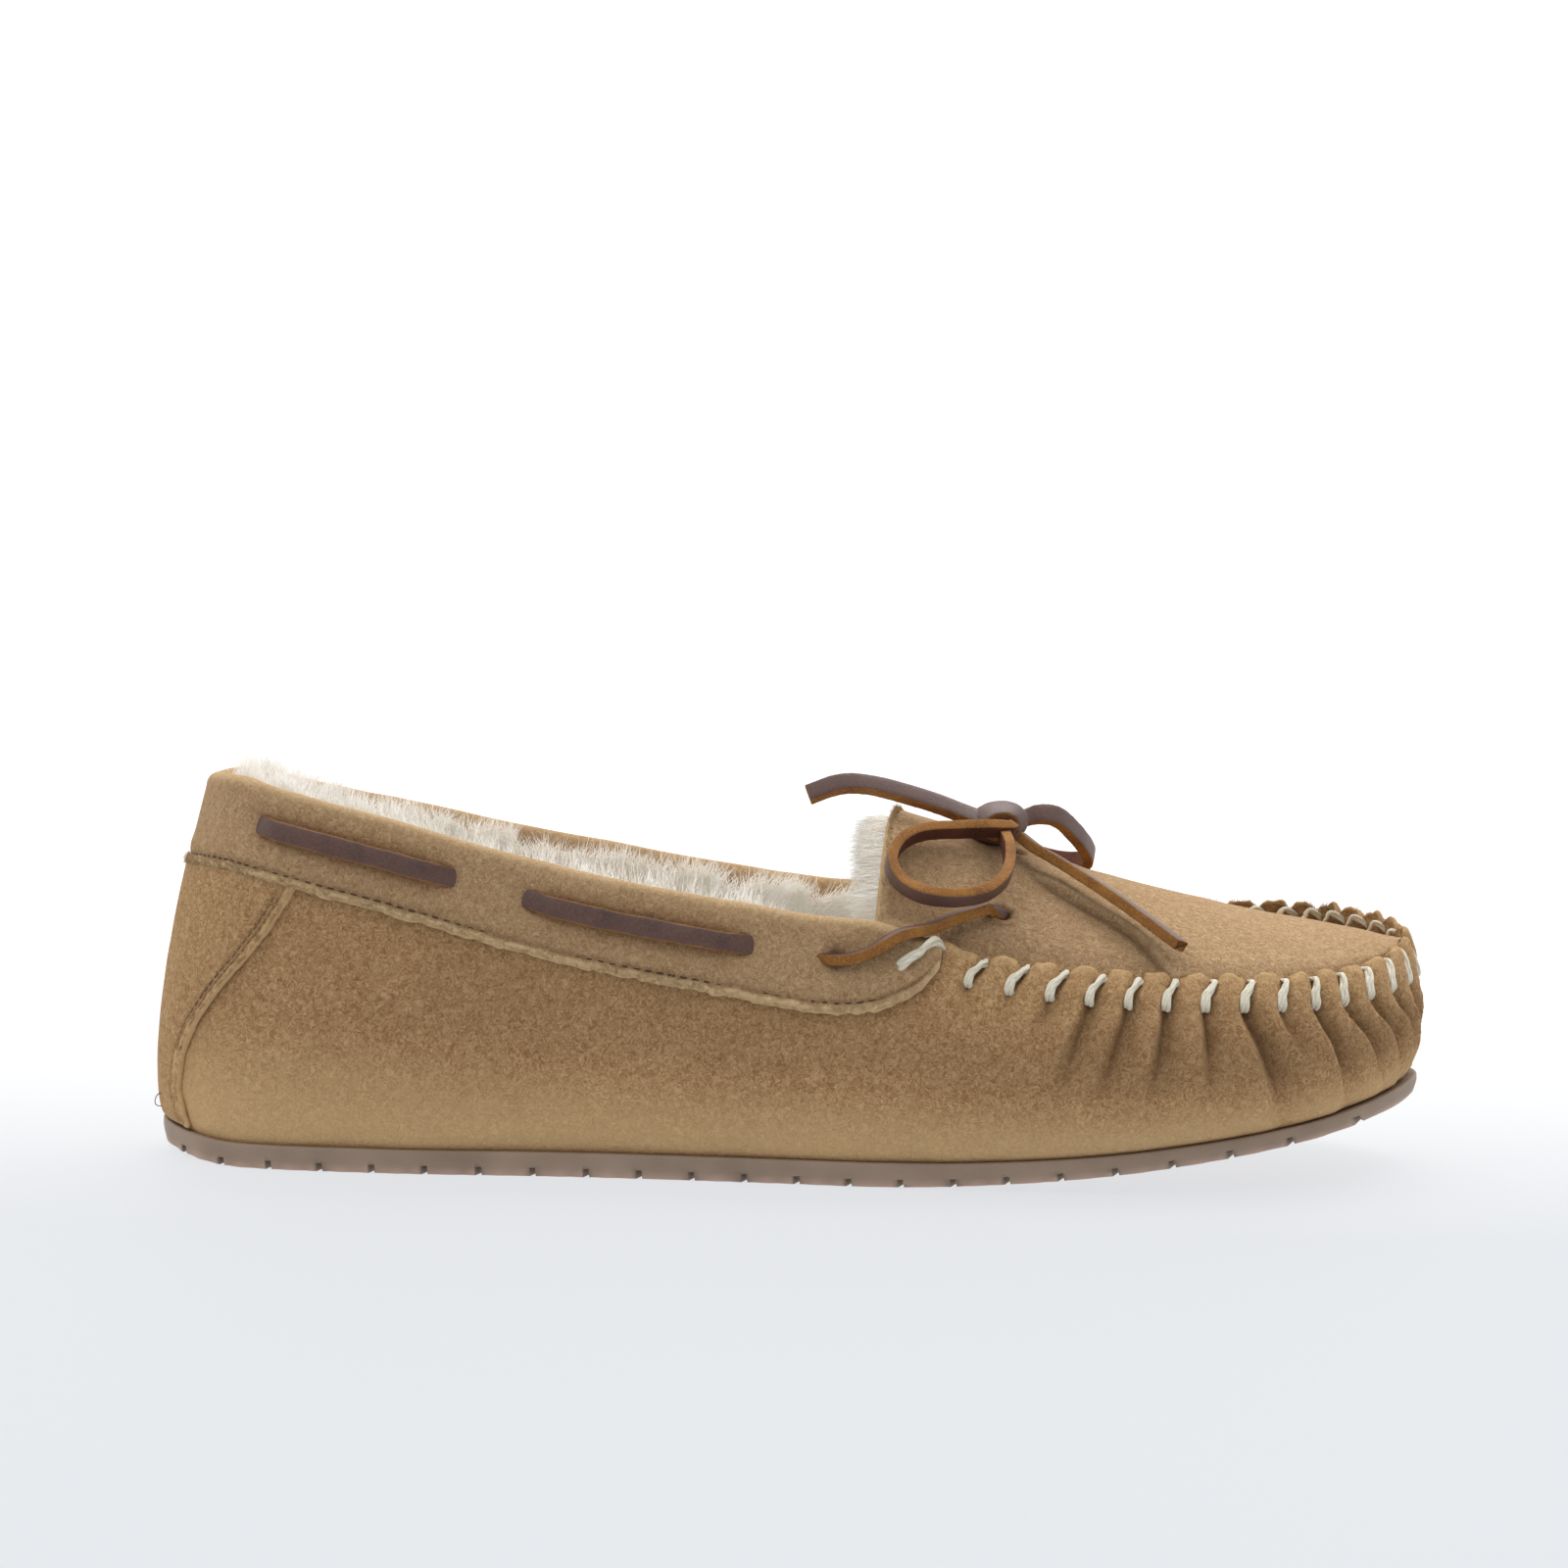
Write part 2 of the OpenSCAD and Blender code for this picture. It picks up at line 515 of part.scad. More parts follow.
function whip_first_path(side) = let (o = whip_r + gap + 0.05, k = side)
    concat([for (q = [[4.62, 6.4], [4.66, 4.4]]) at_drop(k * q[0], q[1], -gap - overlay_t - o)],
           [for (q = [[4.705, 0], [4.74, 32], [4.765, 58]]) let (
               n = out_of(k * q[0]),
               m = wall(k * q[0], share_down(k * q[0], roll_r), -gap - overlay_t + roll_r),
               r = roll_r + o)
               m + [n.x * r * cos(q[1]), n.y * r * cos(q[1]), r * sin(q[1])]]);
module whipstitch_thread() {
    color(thread_c) {
        for (i = [0:whip_n - 1]) tube(whip_path(whip_first + (whip_last - whip_first) * i / (whip_n - 1)), whip_r);
        for (side = [-1, 1]) tube(whip_first_path(side), whip_r);
    }
}

// one topstitch lying on the overlay, between two points of the surface
module topstitch(p, q, n) {
    t = unit(q - p);
    w = unit(cross(n, t));
    v = cross(t, w);
    c = (p + q) / 2;
    multmatrix([[t.x, w.x, v.x, c.x], [t.y, w.y, v.y, c.y], [t.z, w.z, v.z, c.z], [0, 0, 0, 1]])
    cube([top_len, top_d, top_d], center = true);
}
stitch_d = -gap - overlay_t - gap - 0.1 - top_d / 2;
function speed(s) = norm(around(plan, s + 0.01) - around(plan, s - 0.01)) / 0.02;
function walk(s, end) = s > end ? [] : concat([s], walk(s + top_pitch / speed(s), end));
module collar_thread() {
    up = 1.3;
    color(dark_c)
    for (s = walk(0.02, 4.5), side = [-1, 1]) let (
        e = 0.4 * top_len / speed(s),
        a = side * s)
        topstitch(at_drop(a - e, curl(s - e) - up, stitch_d), at_drop(a + e, curl(s + e) - up, stitch_d),
                  wall_n(a, share_down(a, curl(s) - up)));
}
module heel_patch_thread() {
    n = 15;
    color(dark_c)
    for (i = [0:n], side = [-1, 1], off = [1.6, 2.8]) let (
        j = 0.07 + 0.86 * i / n,
        h = top_len / 130,
        s0 = patch_at(j * 0.73),
        s1 = s0 - off / speed(s0),
        sa = patch_at((j - h) * 0.73) - off / speed(s0),
        sb = patch_at((j + h) * 0.73) - off / speed(s0),
        ta = share_down(sa, collar_drop + 0.3) * (j - h),
        tb = share_down(sb, collar_drop + 0.3) * (j + h))
        topstitch(wall(side * sa, ta, stitch_d), wall(side * sb, tb, stitch_d), wall_n(side * s1, (ta + tb) / 2));
}

outsole();
lasting_board();
foam_footbed();
footbed_pile();
vamp();
heel_patch();
heel_counter();
collar();
quarter_lining();
forefoot_lining();
plug();
plug_lining();
whipstitch_thread();
collar_thread();
heel_patch_thread();
lace_run();
bow_knot();
bow_loop_outer();
bow_loop_inner();
bow_tail_rear();
bow_tail_front();
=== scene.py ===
"""Looks of a suede moccasin slipper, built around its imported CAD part.

Shapes are worked out in millimetres in the CAD's own frame (X heel to toe, Y outer to inner side,
Z up) and turned into metres when a mesh is made. Every layer of the upper is the same wall surface
at another depth, as in the CAD source, with finer relief on top.
"""

import math

import bpy
import numpy as np
from mathutils import Matrix, Vector
from mathutils.kdtree import KDTree


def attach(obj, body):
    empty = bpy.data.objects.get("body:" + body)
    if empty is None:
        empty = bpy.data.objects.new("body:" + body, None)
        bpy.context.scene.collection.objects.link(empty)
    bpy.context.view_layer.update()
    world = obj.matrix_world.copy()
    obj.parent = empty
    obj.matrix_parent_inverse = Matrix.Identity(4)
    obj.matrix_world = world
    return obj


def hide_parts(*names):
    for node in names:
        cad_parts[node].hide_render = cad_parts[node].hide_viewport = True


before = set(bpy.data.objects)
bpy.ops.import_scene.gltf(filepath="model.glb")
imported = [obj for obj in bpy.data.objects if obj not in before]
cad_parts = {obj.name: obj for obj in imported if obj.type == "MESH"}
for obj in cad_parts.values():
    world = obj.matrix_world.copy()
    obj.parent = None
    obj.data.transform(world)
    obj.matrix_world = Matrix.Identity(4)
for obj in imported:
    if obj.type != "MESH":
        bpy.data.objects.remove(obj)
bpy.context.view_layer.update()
MM = 0.001
SLIPPER = "slipper"

# ---- wall of the upper, as the CAD has it -------------------------------------------------------
# Sixteen stations round the sole: heel back (0), outer side, toe tip (8), inner side.
PLAN = np.array([[-129.2, 0], [-116, -24.5], [-84, -32], [-44, -33.5], [-4, -38], [36, -44.5], [74, -45.5],
                 [109, -32], [128, 4], [114, 35], [80, 45.5], [42, 44], [2, 37], [-42, 31.5], [-84, 30.5],
                 [-116, 24]], float)
# At each station: how far the wall bulges, how far its top leans in, and the height of its top edge.
BULGE = np.array([3, 3, 3.5, 3, 3.5, 4, 4.5, 4, 3, 4, 4.5, 4, 3.5, 3, 3.5, 3], float)
LEAN_IN = np.array([9.5, 8.5, 6.5, 5, 5, 7, 7, 4.5, 2, 4.5, 7, 7.5, 5.5, 5, 6.5, 8.5], float)
TOP_Z = np.array([78, 78.3, 71.6, 61.5, 54.8, 47, 43.8, 43.5, 45.5, 47, 47.2, 50.5, 54.5, 62.5, 70.8, 77.5])
TIP, FULL = 8, 16

SUEDE_T = 1.4
# The collar and the heel patch lie on the vamp, a gap outside it.
OVERLAY_T, GAP = 1.2, 0.15
OVER_D = -GAP - OVERLAY_T
# The collar reaches COLLAR_DROP below the top edge, rolls over it at radius ROLL_R and ends at COLLAR_END.
COLLAR_DROP, ROLL_R, COLLAR_END = 18.4, 2.6, 4.84
# The vamp's edge is tucked under the collar up to VAMP_OPEN stations from the heel.
TUCK, VAMP_OPEN = 4, 4.4
LACE_W = 3.9
LACE_T = 2.2
LACE_DROP = 8


def around(table, s):
    """Value of a closed table at station s, on a Catmull-Rom curve through its entries."""
    i = np.floor(s).astype(int)
    f = s - i
    n = len(table)
    a, b, c, d = (table[(i + k) % n] for k in (-1, 0, 1, 2))
    if table.ndim > 1:
        f = f[..., None]
    return (2 * b + (c - a) * f + (2 * a - 5 * b + 4 * c - d) * f**2 + (3 * b - a - 3 * c + d) * f**3) / 2


def from_heel(s):
    """Stations from the heel, the same on both sides."""
    s = s % FULL
    return np.where(s > TIP, FULL - s, s)


def top_of(s):
    """Height of the wall's top edge, with a low bump where the collar ends."""
    return around(TOP_Z, s) + 2.2 * bell(from_heel(s) - 4.5, 0.26)


def ground(x):
    """Height of the underside: toe spring in front, a slight lift behind."""
    return 15 * np.maximum(0, (x - 10) / 118) ** 1.8 + 2 * np.maximum(0, (-x - 112) / 17) ** 2


def feather(x):
    """Height of the line where the upper meets the sole."""
    return ground(x) + 5 - 1.3 * np.clip((x - 20) / 80, 0, 1)


def out_of(s):
    """Outward normal of the plan in X and Y."""
    d = around(PLAN, s + 0.01) - around(PLAN, s - 0.01)
    d /= np.linalg.norm(d, axis=-1, keepdims=True)
    return np.stack([d[..., 1], -d[..., 0]], -1)


def outward(s, up=0.0):
    """Outward direction at station s as a point in space, with a share upwards."""
    n = out_of(s)
    return np.concatenate([n, np.broadcast_to(up, n.shape[:-1])[..., None]], -1)


def speed(s):
    """Millimetres of outline per station."""
    return np.linalg.norm(around(PLAN, s + 0.01) - around(PLAN, s - 0.01), axis=-1) / 0.02


def wall(s, t, d=0.0):
    """Point of the wall at station s, height share t and depth d inwards."""
    s, t, d = np.broadcast_arrays(np.asarray(s, float), np.asarray(t, float), np.asarray(d, float))
    p, n = around(PLAN, s), out_of(s)
    lean_pow = 1.15 + 3 * np.clip((p[..., 0] - 10) / 50, 0, 1)
    tc = np.maximum(t, 0)
    o = (-1.2 * (1 - t) ** 2 + around(BULGE, s) * np.sin(np.pi * tc**0.65)
         - around(LEAN_IN, s) * tc**lean_pow - d)
    z0 = feather(p[..., 0])
    return np.stack([p[..., 0] + n[..., 0] * o, p[..., 1] + n[..., 1] * o, z0 + (top_of(s) - z0) * t], -1)


def wall_height(s):
    return top_of(s) - feather(around(PLAN, np.asarray(s, float))[..., 0])


def share_down(s, drop):
    """Height share of a point that lies drop millimetres below the top edge."""
    return 1 - drop / wall_height(s)


def at_drop(s, drop, d=0.0):
    """Point of the wall a drop below its top edge."""
    return wall(s, share_down(np.asarray(s, float), drop), d)


def unit(v):
    return v / np.maximum(np.linalg.norm(v, axis=-1, keepdims=True), 1e-9)


def bell(x, width):
    """1 at x = 0, falling smoothly to 0 on both sides."""
    return np.exp(-((x / width) ** 2))


def ease(x, lo, hi):
    """Smooth step from 0 at lo to 1 at hi."""
    f = np.clip((x - lo) / (hi - lo), 0, 1)
    return f * f * (3 - 2 * f)


# ---- noise --------------------------------------------------------------------------------------
def lattice(ix, iy, iz, seed):
    """A value from 0 to 1 at each point of a whole-number lattice."""
    h = ix.astype(np.uint32) * np.uint32(374761393) + iy.astype(np.uint32) * np.uint32(668265263)
    h = h + iz.astype(np.uint32) * np.uint32(2246822519) + np.uint32(seed * 3266489917 % 2**32)
    h = (h ^ (h >> np.uint32(13))) * np.uint32(1274126177)
    h = (h ^ (h >> np.uint32(15))) * np.uint32(2246822519)
    return (h ^ (h >> np.uint32(16))).astype(float) / 2**32


def noise(p, size, seed=1):
    """Smooth noise from -1 to 1 at points p, with blobs about size wide."""
    q = np.asarray(p, float) / size + 1000.0
    i = np.floor(q).astype(np.int64)
    f = q - i
    f = f * f * (3 - 2 * f)
    total = 0.0
    for corner in np.ndindex(2, 2, 2):
        share = np.prod([f[..., k] if corner[k] else 1 - f[..., k] for k in range(3)], axis=0)
        total = total + share * lattice(*(i[..., k] + corner[k] for k in range(3)), seed)
    return total * 2 - 1


def cloud(p, size, seed=1, steps=3):
    """Noise of several sizes together, each half the one before."""
    return sum(noise(p, size / 2**k, seed + 7 * k) / 2**k for k in range(steps))


# ---- mesh helpers -------------------------------------------------------------------------------
def signed_volume(co, faces):
    total = 0.0
    for f in faces:
        for k in range(1, f.shape[1] - 1):
            total += np.einsum("ij,ij->", co[f[:, 0]], np.cross(co[f[:, k]], co[f[:, k + 1]]))
    return total


def make_piece(name, verts, faces, materials, body=SLIPPER, replaces=(), index=None, attrs=None):
    """A smooth mesh piece from points in millimetres and a list of face arrays, riding on a body."""
    me = bpy.data.meshes.new(name)
    co = np.asarray(verts, float).reshape(-1, 3) * MM
    faces = [np.asarray(f, int) for f in faces if len(f)]
    if signed_volume(co, faces) < 0:
        faces = [f[:, ::-1] for f in faces]
    sizes = np.concatenate([np.full(len(f), f.shape[1]) for f in faces])
    loops = np.concatenate([f.ravel() for f in faces])
    me.vertices.add(len(co))
    me.vertices.foreach_set("co", co.astype(np.float32).ravel())
    me.loops.add(len(loops))
    me.loops.foreach_set("vertex_index", loops.astype(np.int32))
    me.polygons.add(len(sizes))
    me.polygons.foreach_set("loop_start", np.concatenate([[0], np.cumsum(sizes)[:-1]]).astype(np.int32))
    me.polygons.foreach_set("loop_total", sizes.astype(np.int32))
    for m in materials:
        me.materials.append(m)
    if index is not None:
        me.polygons.foreach_set("material_index", np.asarray(index, np.int32))
    me.update(calc_edges=True)
    me.polygons.foreach_set("use_smooth", np.ones(len(sizes), bool))
    for key, values in (attrs or {}).items():
        data = me.attributes.new(key, "FLOAT", "POINT").data
        data.foreach_set("value", np.asarray(values, np.float32).ravel())
    me.update()
    ob = bpy.data.objects.new(name, me)
    bpy.context.scene.collection.objects.link(ob)
    if replaces:
        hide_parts(*replaces)
    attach(ob, body)
    return ob


def grid_quads(nu, nv, wrap_u=False, wrap_v=False, start=0):
    i = np.arange(nu if wrap_u else nu - 1)[:, None]
    j = np.arange(nv if wrap_v else nv - 1)[None, :]
    a, b = i * nv, ((i + 1) % nu) * nv
    k = (j + 1) % nv
    return np.stack([a + j, b + j, b + k, a + k], -1).reshape(-1, 4) + start


def rim_rows(outer_edge, inner_edge, beyond, steps=3):
    """Rows that close the edge between two skins with a half-round lip."""
    mid, arm = (outer_edge + inner_edge) / 2, (outer_edge - inner_edge) / 2
    reach = np.linalg.norm(arm, axis=-1, keepdims=True)
    angles = np.pi * (np.arange(steps) + 0.5) / steps
    return [mid + arm * np.cos(a) + beyond * reach * np.sin(a) for a in angles]


def section_loops(outer, inner, inner_rows=8):
    """Closed sections of a thin sheet: up the outer skin, over a lip, down the inner skin, round a lip."""
    keep = np.unique(np.linspace(0, outer.shape[1] - 1, inner_rows).astype(int))
    inner = inner[:, keep]
    up = unit(outer[:, -1] - outer[:, -2])
    down = unit(outer[:, 0] - outer[:, 1])
    over = rim_rows(outer[:, -1], inner[:, -1], up)
    under = rim_rows(inner[:, 0], outer[:, 0], down)
    rows = [outer, np.stack(over, 1), inner[:, ::-1], np.stack(under, 1)]
    return np.concatenate(rows, 1)


def fan_cap(nu, nv, last):
    """Faces that close the open end of a tube of sections, in strips across the section."""
    base = (nu - 1) * nv if last else 0
    j = np.arange(nv // 2)
    quads = np.stack([base + j, base + j + 1, base + (nv - j - 1) % nv, base + (nv - j) % nv], -1)
    quads = quads if last else quads[:, ::-1]
    whole = np.array([len(set(q)) == 4 for q in quads.tolist()])
    tris = [[a for k, a in enumerate(q) if a not in q[:k]] for q in quads[~whole].tolist()]
    return quads[whole], np.array([t for t in tris if len(t) == 3], int).reshape(-1, 3)


def tube_faces(nu, nv, ring=False):
    """Faces of a tube of closed sections, with its two ends closed unless it is a ring."""
    faces = [grid_quads(nu, nv, wrap_u=ring, wrap_v=True)]
    return faces if ring else faces + [*fan_cap(nu, nv, False), *fan_cap(nu, nv, True)]


def catmull(points, per):
    """Smooth line through given points, per samples for each stretch."""
    p = np.asarray(points, float)
    ends = np.concatenate([p[:1], p, p[-1:]])
    return np.concatenate([around(ends, 1 + np.arange((len(p) - 1) * per) / per), p[-1:]])


def tangents(p):
    """Direction of a line at each of its points."""
    t = np.empty_like(p)
    t[1:-1] = p[2:] - p[:-2]
    t[0], t[-1] = p[1] - p[0], p[-1] - p[-2]
    return unit(t)


def strands(roots, dirs, bends, length, radius, rings=4, seed=3):
    """Closed three-sided tapering hairs. bends curve each hair away from its first direction."""
    rng = np.random.default_rng(seed)
    n = len(roots)
    length, radius = np.broadcast_to(length, n)[:, None], np.broadcast_to(radius, n)[:, None]
    side = unit(np.cross(dirs, rng.normal(size=(n, 3))))
    other = np.cross(dirs, side)
    turn = rng.uniform(0, 2 * np.pi, (n, 1))
    wave = rng.uniform(0.02, 0.08, (n, 1)) * length
    verts = np.empty((n, rings * 3 + 1, 3))
    for r in range(rings + 1):
        k = r / rings
        c = roots + (dirs * k + bends * k * k) * length
        c = c + (side * np.sin(turn + 5 * k) + other * np.cos(turn + 5 * k)) * wave * k
        if r == rings:
            verts[:, -1] = c
            break
        w = radius * (1 - 0.8 * k)
        for q in range(3):
            a = 2 * np.pi * q / 3
            verts[:, r * 3 + q] = c + (side * math.cos(a) + other * math.sin(a)) * w
    per = rings * 3 + 1
    base = (np.arange(n) * per)[:, None]
    quads = [[r * 3 + q, r * 3 + (q + 1) % 3, r * 3 + 3 + (q + 1) % 3, r * 3 + 3 + q]
             for r in range(rings - 1) for q in range(3)]
    last = (rings - 1) * 3
    tris = [[last + q, last + (q + 1) % 3, rings * 3] for q in range(3)] + [[2, 1, 0]]
    quads = (base[:, :, None] + np.array(quads)[None]).reshape(-1, 4)
    tris = (base[:, :, None] + np.array(tris)[None]).reshape(-1, 3)
    return verts.reshape(-1, 3), quads, tris


# ---- materials ----------------------------------------------------------------------------------
def palette(codes):
    """Linear colours from a line of hex screen colours."""
    rows = np.array([list(bytes.fromhex(code)) for code in codes.split()]) / 255
    linear = np.where(rows <= 10 / 255, rows / 12.92, ((rows + 0.055) / 1.055) ** 2.4)
    return [(*row, 1) for row in linear.tolist()]


def add(tree, kind, inputs, out=0, **settings):
    """A new shader node with its inputs set or linked. Gives back one of its outputs."""
    n = tree.nodes.new("ShaderNode" + kind)
    for key, value in settings.items():
        setattr(n, key, value)
    for key, value in inputs.items():
        if isinstance(value, bpy.types.NodeSocket):
            tree.links.new(value, n.inputs[key])
        else:
            n.inputs[key].default_value = value
    return n.outputs[out]


class Paint:
    """A material in the making. Each method adds a node and gives back its output."""

    def __init__(self, name, rough, **fixed):
        self.mat = bpy.data.materials.new(name)
        self.mat.use_nodes = True
        self.tree = self.mat.node_tree
        self.shader = self.tree.nodes["Principled BSDF"].inputs
        for key, value in {"Roughness": rough, **fixed}.items():
            self.shader[key.replace("_", " ")].default_value = value
        self.place = add(self.tree, "TexCoord", {}, "Object")

    def mix(self, share, a, b):
        return add(self.tree, "Mix", {0: share, 6: a, 7: b}, 2, data_type="RGBA")

    def calc(self, op, a, b=0.0, clamp=False):
        return add(self.tree, "Math", {0: a, 1: b}, operation=op, use_clamp=clamp)

    def times(self, a, b):
        return self.calc("MULTIPLY", a, b)

    def blobs(self, size_mm, detail=2.0, rough=0.5, bend=0.0):
        """Noise texture with blobs about size_mm wide, from 0 to 1."""
        inputs = {"Vector": self.place, "Scale": 1 / (size_mm * MM), "Detail": detail, "Roughness": rough,
                  "Distortion": bend}
        return add(self.tree, "TexNoise", inputs, "Fac")

    def spread(self, value, low, high, start=0.0, end=1.0):
        """value from low..high stretched to start..end."""
        return add(self.tree, "MapRange", {0: value, 1: low, 2: high, 3: start, 4: end})

    def on_mesh(self, name):
        return add(self.tree, "Attribute", {}, "Fac", attribute_name=name)

    def link(self, value, name):
        self.tree.links.new(value, self.shader[name])

    def finish(self, colour, height, depth_mm, strength):
        self.link(colour, "Base Color")
        self.link(add(self.tree, "Bump", {"Height": height, "Distance": depth_mm * MM, "Strength": strength}),
                  "Normal")
        return self.mat


def suede(name, codes):
    """Napped leather: short curly fibres, brushed patches, pale raw edges and painted shade in the creases.
    The mesh attribute for painted light and raw edges runs from -1, painted shade in a deep crease, to 1 on a
    raw edge; painted highlights and painted light from the floor lie between."""
    base, light, dark, raw = palette(codes)
    m = Paint(name, 0.95, Specular_IOR_Level=0.15, Sheen_Weight=0.22, Sheen_Roughness=0.6, Sheen_Tint=light)
    nap, hair = m.blobs(1.05, 4.0, 0.74, 1.4), m.blobs(0.45, 2.0, 0.6, 2.4)
    patch, small = m.blobs(26, 3.0, 0.5, 0.4), m.blobs(4, 3.0, 0.6, 0.8)
    painted_light_and_raw_edge = m.on_mesh("painted_light_and_raw_edge")
    colour = m.mix(m.spread(patch, 0.3, 0.68), m.mix(0.7, base, dark), base)
    colour = m.mix(m.spread(small, 0.35, 0.75), colour, m.mix(0.3, colour, light))
    colour = m.mix(m.spread(nap, 0.38, 0.64), m.mix(0.85, colour, dark), m.mix(0.6, colour, light))
    colour = m.mix(m.times(m.spread(hair, 0.58, 0.72), 0.7), colour, light)
    colour = m.mix(m.times(m.spread(hair, 0.42, 0.28), 0.65), colour,
                   m.mix(0.5, dark, (0.02, 0.01, 0.005, 1)))
    # painted shade: below 0 the colour darkens towards a near black brown, in creases, pits, slots and stitch
    # lines
    painted_crease_shade = m.calc("MULTIPLY", painted_light_and_raw_edge, -1.0, True)
    colour = m.mix(m.times(painted_crease_shade, 0.75), colour, m.mix(0.7, dark, (0.03, 0.015, 0.008, 1)))
    # above 0: the pale raw edge colour, also used for painted highlights and painted light from the floor
    colour = m.mix(m.calc("MULTIPLY", painted_light_and_raw_edge, 0.8, True), colour, m.mix(nap, raw, light))
    return m.finish(colour, m.calc("ADD", m.times(nap, 0.7), m.times(hair, 0.4)), 0.6, 0.9)


def make_fur(name, codes):
    base, shadow, tip, glow = palette(codes + " faf7f0 fff6e8")
    # The cream emission is painted light: a glow in place of light scattered through the pile.
    m = Paint(name, 0.75, Specular_IOR_Level=0.25, Sheen_Weight=0.3, Sheen_Roughness=0.4,
              Subsurface_Weight=0.3, Subsurface_Scale=0.004, Emission_Strength=0.11, Emission_Color=glow)
    tuft, fine = m.blobs(9, 2.0, 0.6, 0.5), m.blobs(0.9, 2.0, 0.6)
    colour = m.mix(m.spread(tuft, 0.3, 0.7), shadow, base)
    colour = m.mix(m.times(m.spread(fine, 0.35, 0.7), 0.5), colour, tip)
    return m.finish(colour, fine, 0.3, 0.5)


def leather_face(name, codes, rough, pore_mm, depth, coat=0.0):
    base, light, dark = palette(codes)
    m = Paint(name, rough, Specular_IOR_Level=0.5, Coat_Weight=coat, Coat_Roughness=0.45)
    pore, patch = m.blobs(pore_mm, 3.0, 0.6, 0.4), m.blobs(6, 2.0, 0.5, 0.3)
    colour = m.mix(m.spread(patch, 0.3, 0.7), dark, base)
    colour = m.mix(m.times(m.spread(pore, 0.45, 0.75), 0.5), colour, light)
    m.link(m.spread(pore, 0.3, 0.7, rough - 0.08, rough + 0.12), "Roughness")
    return m.finish(colour, pore, depth, 0.8)


def twisted_thread(name, codes):
    """Spun thread: fibres wind round it. Attributes along (mm) and turn (0..1) say where a point is."""
    base, dark, light = palette(codes)
    m = Paint(name, 0.75, Specular_IOR_Level=0.3, Sheen_Weight=0.25, Sheen_Roughness=0.5)
    phase = m.calc("ADD", m.times(m.on_mesh("along"), 2.6), m.times(m.on_mesh("turn"), 6 * math.pi))
    fibre = m.times(m.calc("ADD", m.calc("SINE", phase), 1.0), 0.5)
    dust = m.blobs(0.5, 2.0, 0.6, 1.0)
    colour = m.mix(m.spread(dust, 0.3, 0.75), dark, base)
    colour = m.mix(m.times(fibre, 0.45), colour, light)
    return m.finish(colour, m.calc("ADD", fibre, dust), 0.09, 0.8)


def rubber(name, codes):
    """Rubber, paler near the ground where the mesh attribute low says: painted light from the floor below."""
    base, light, dark, floor_lit = palette(codes)
    m = Paint(name, 0.55, Specular_IOR_Level=0.4)
    grain, patch = m.blobs(0.5, 3.0, 0.6), m.blobs(14)
    colour = m.mix(m.spread(patch, 0.3, 0.7), dark, base)
    colour = m.mix(m.times(grain, 0.3), colour, light)
    colour = m.mix(m.times(m.spread(m.on_mesh("low"), 0.0, 1.0), 0.85), colour, floor_lit)
    m.link(m.spread(grain, 0.3, 0.7, 0.45, 0.7), "Roughness")
    return m.finish(colour, grain, 0.08, 0.6)


def plain_fibre(name, codes, size_mm, rough):
    """Pressed board, felt-like counter or open foam: inner pieces with a fine speckle."""
    base, dark = palette(codes)
    m = Paint(name, rough, Specular_IOR_Level=0.2)
    speck, patch = m.blobs(size_mm, 3.0, 0.65, 0.8), m.blobs(18)
    colour = m.mix(m.spread(speck, 0.35, 0.65), dark, base)
    return m.finish(m.mix(m.times(patch, 0.25), colour, dark), speck, 0.2, 0.6)


SUEDE = suede("suede_wall", "c3996b e4c090 926840 f0cc96")
SUEDE_COLLAR = suede("suede_collar", "bc976e dabc94 9e7852 fadea8")
SUEDE_PLUG = suede("suede_plug", "c09a70 e0c29a 9a744e ecce9c")
FUR = make_fur("fur_cream", "faf7f1 f0e9dc")
FUR_BASE = make_fur("fur_backing", "f0e9dc ded4c2")
LACE_GRAIN = leather_face("lace_grain", "62443b 7c5f58 50362e", 0.5, 0.5, 0.1, 0.1)
LACE_CUT = leather_face("lace_cut", "9e6a2c c4924c 7e4e1e", 0.85, 0.5, 0.4)
LACE_FLESH = leather_face("lace_flesh", "6c3e2a 8e5a3e 4c281c", 0.85, 0.4, 0.4)
THREAD_CREAM = twisted_thread("thread_cream", "e8e2ce cec6ac faf7ec")
THREAD_DARK = twisted_thread("thread_dark", "543c2c 3a281e 70543e")
THREAD_TAN = twisted_thread("thread_tan", "846242 684c32 9c7854")
THREAD_RED = twisted_thread("thread_red", "966860 785048 b48c80")
# the last colour is the painted light from the floor on the sole's foot
RUBBER = rubber("sole_rubber", "9c8775 b09c8a 847060 cca896")
BOARD = plain_fibre("board", "c4a880 a08460", 0.9, 0.9)
FOAM = plain_fibre("foam", "e8debe cec29e", 0.7, 0.95)
COUNTER = plain_fibre("counter", "d6ceb6 bab096", 0.6, 0.85)


# ---- camera, light and floor --------------------------------------------------------------------
# The view from the outer side, 7 degrees up, with small tilts that put the slipper where the photo has it.
EYE_TARGET = Vector((0, 0, 0.042))
EYE_DISTANCE = 1.5
EYE_ELEVATION = math.radians(7)
FRAME_WIDTH = 0.3232
UP_TILT = math.radians(1.334)
SIDE_TILT = math.radians(0.112)
ROLL = math.radians(0.8)


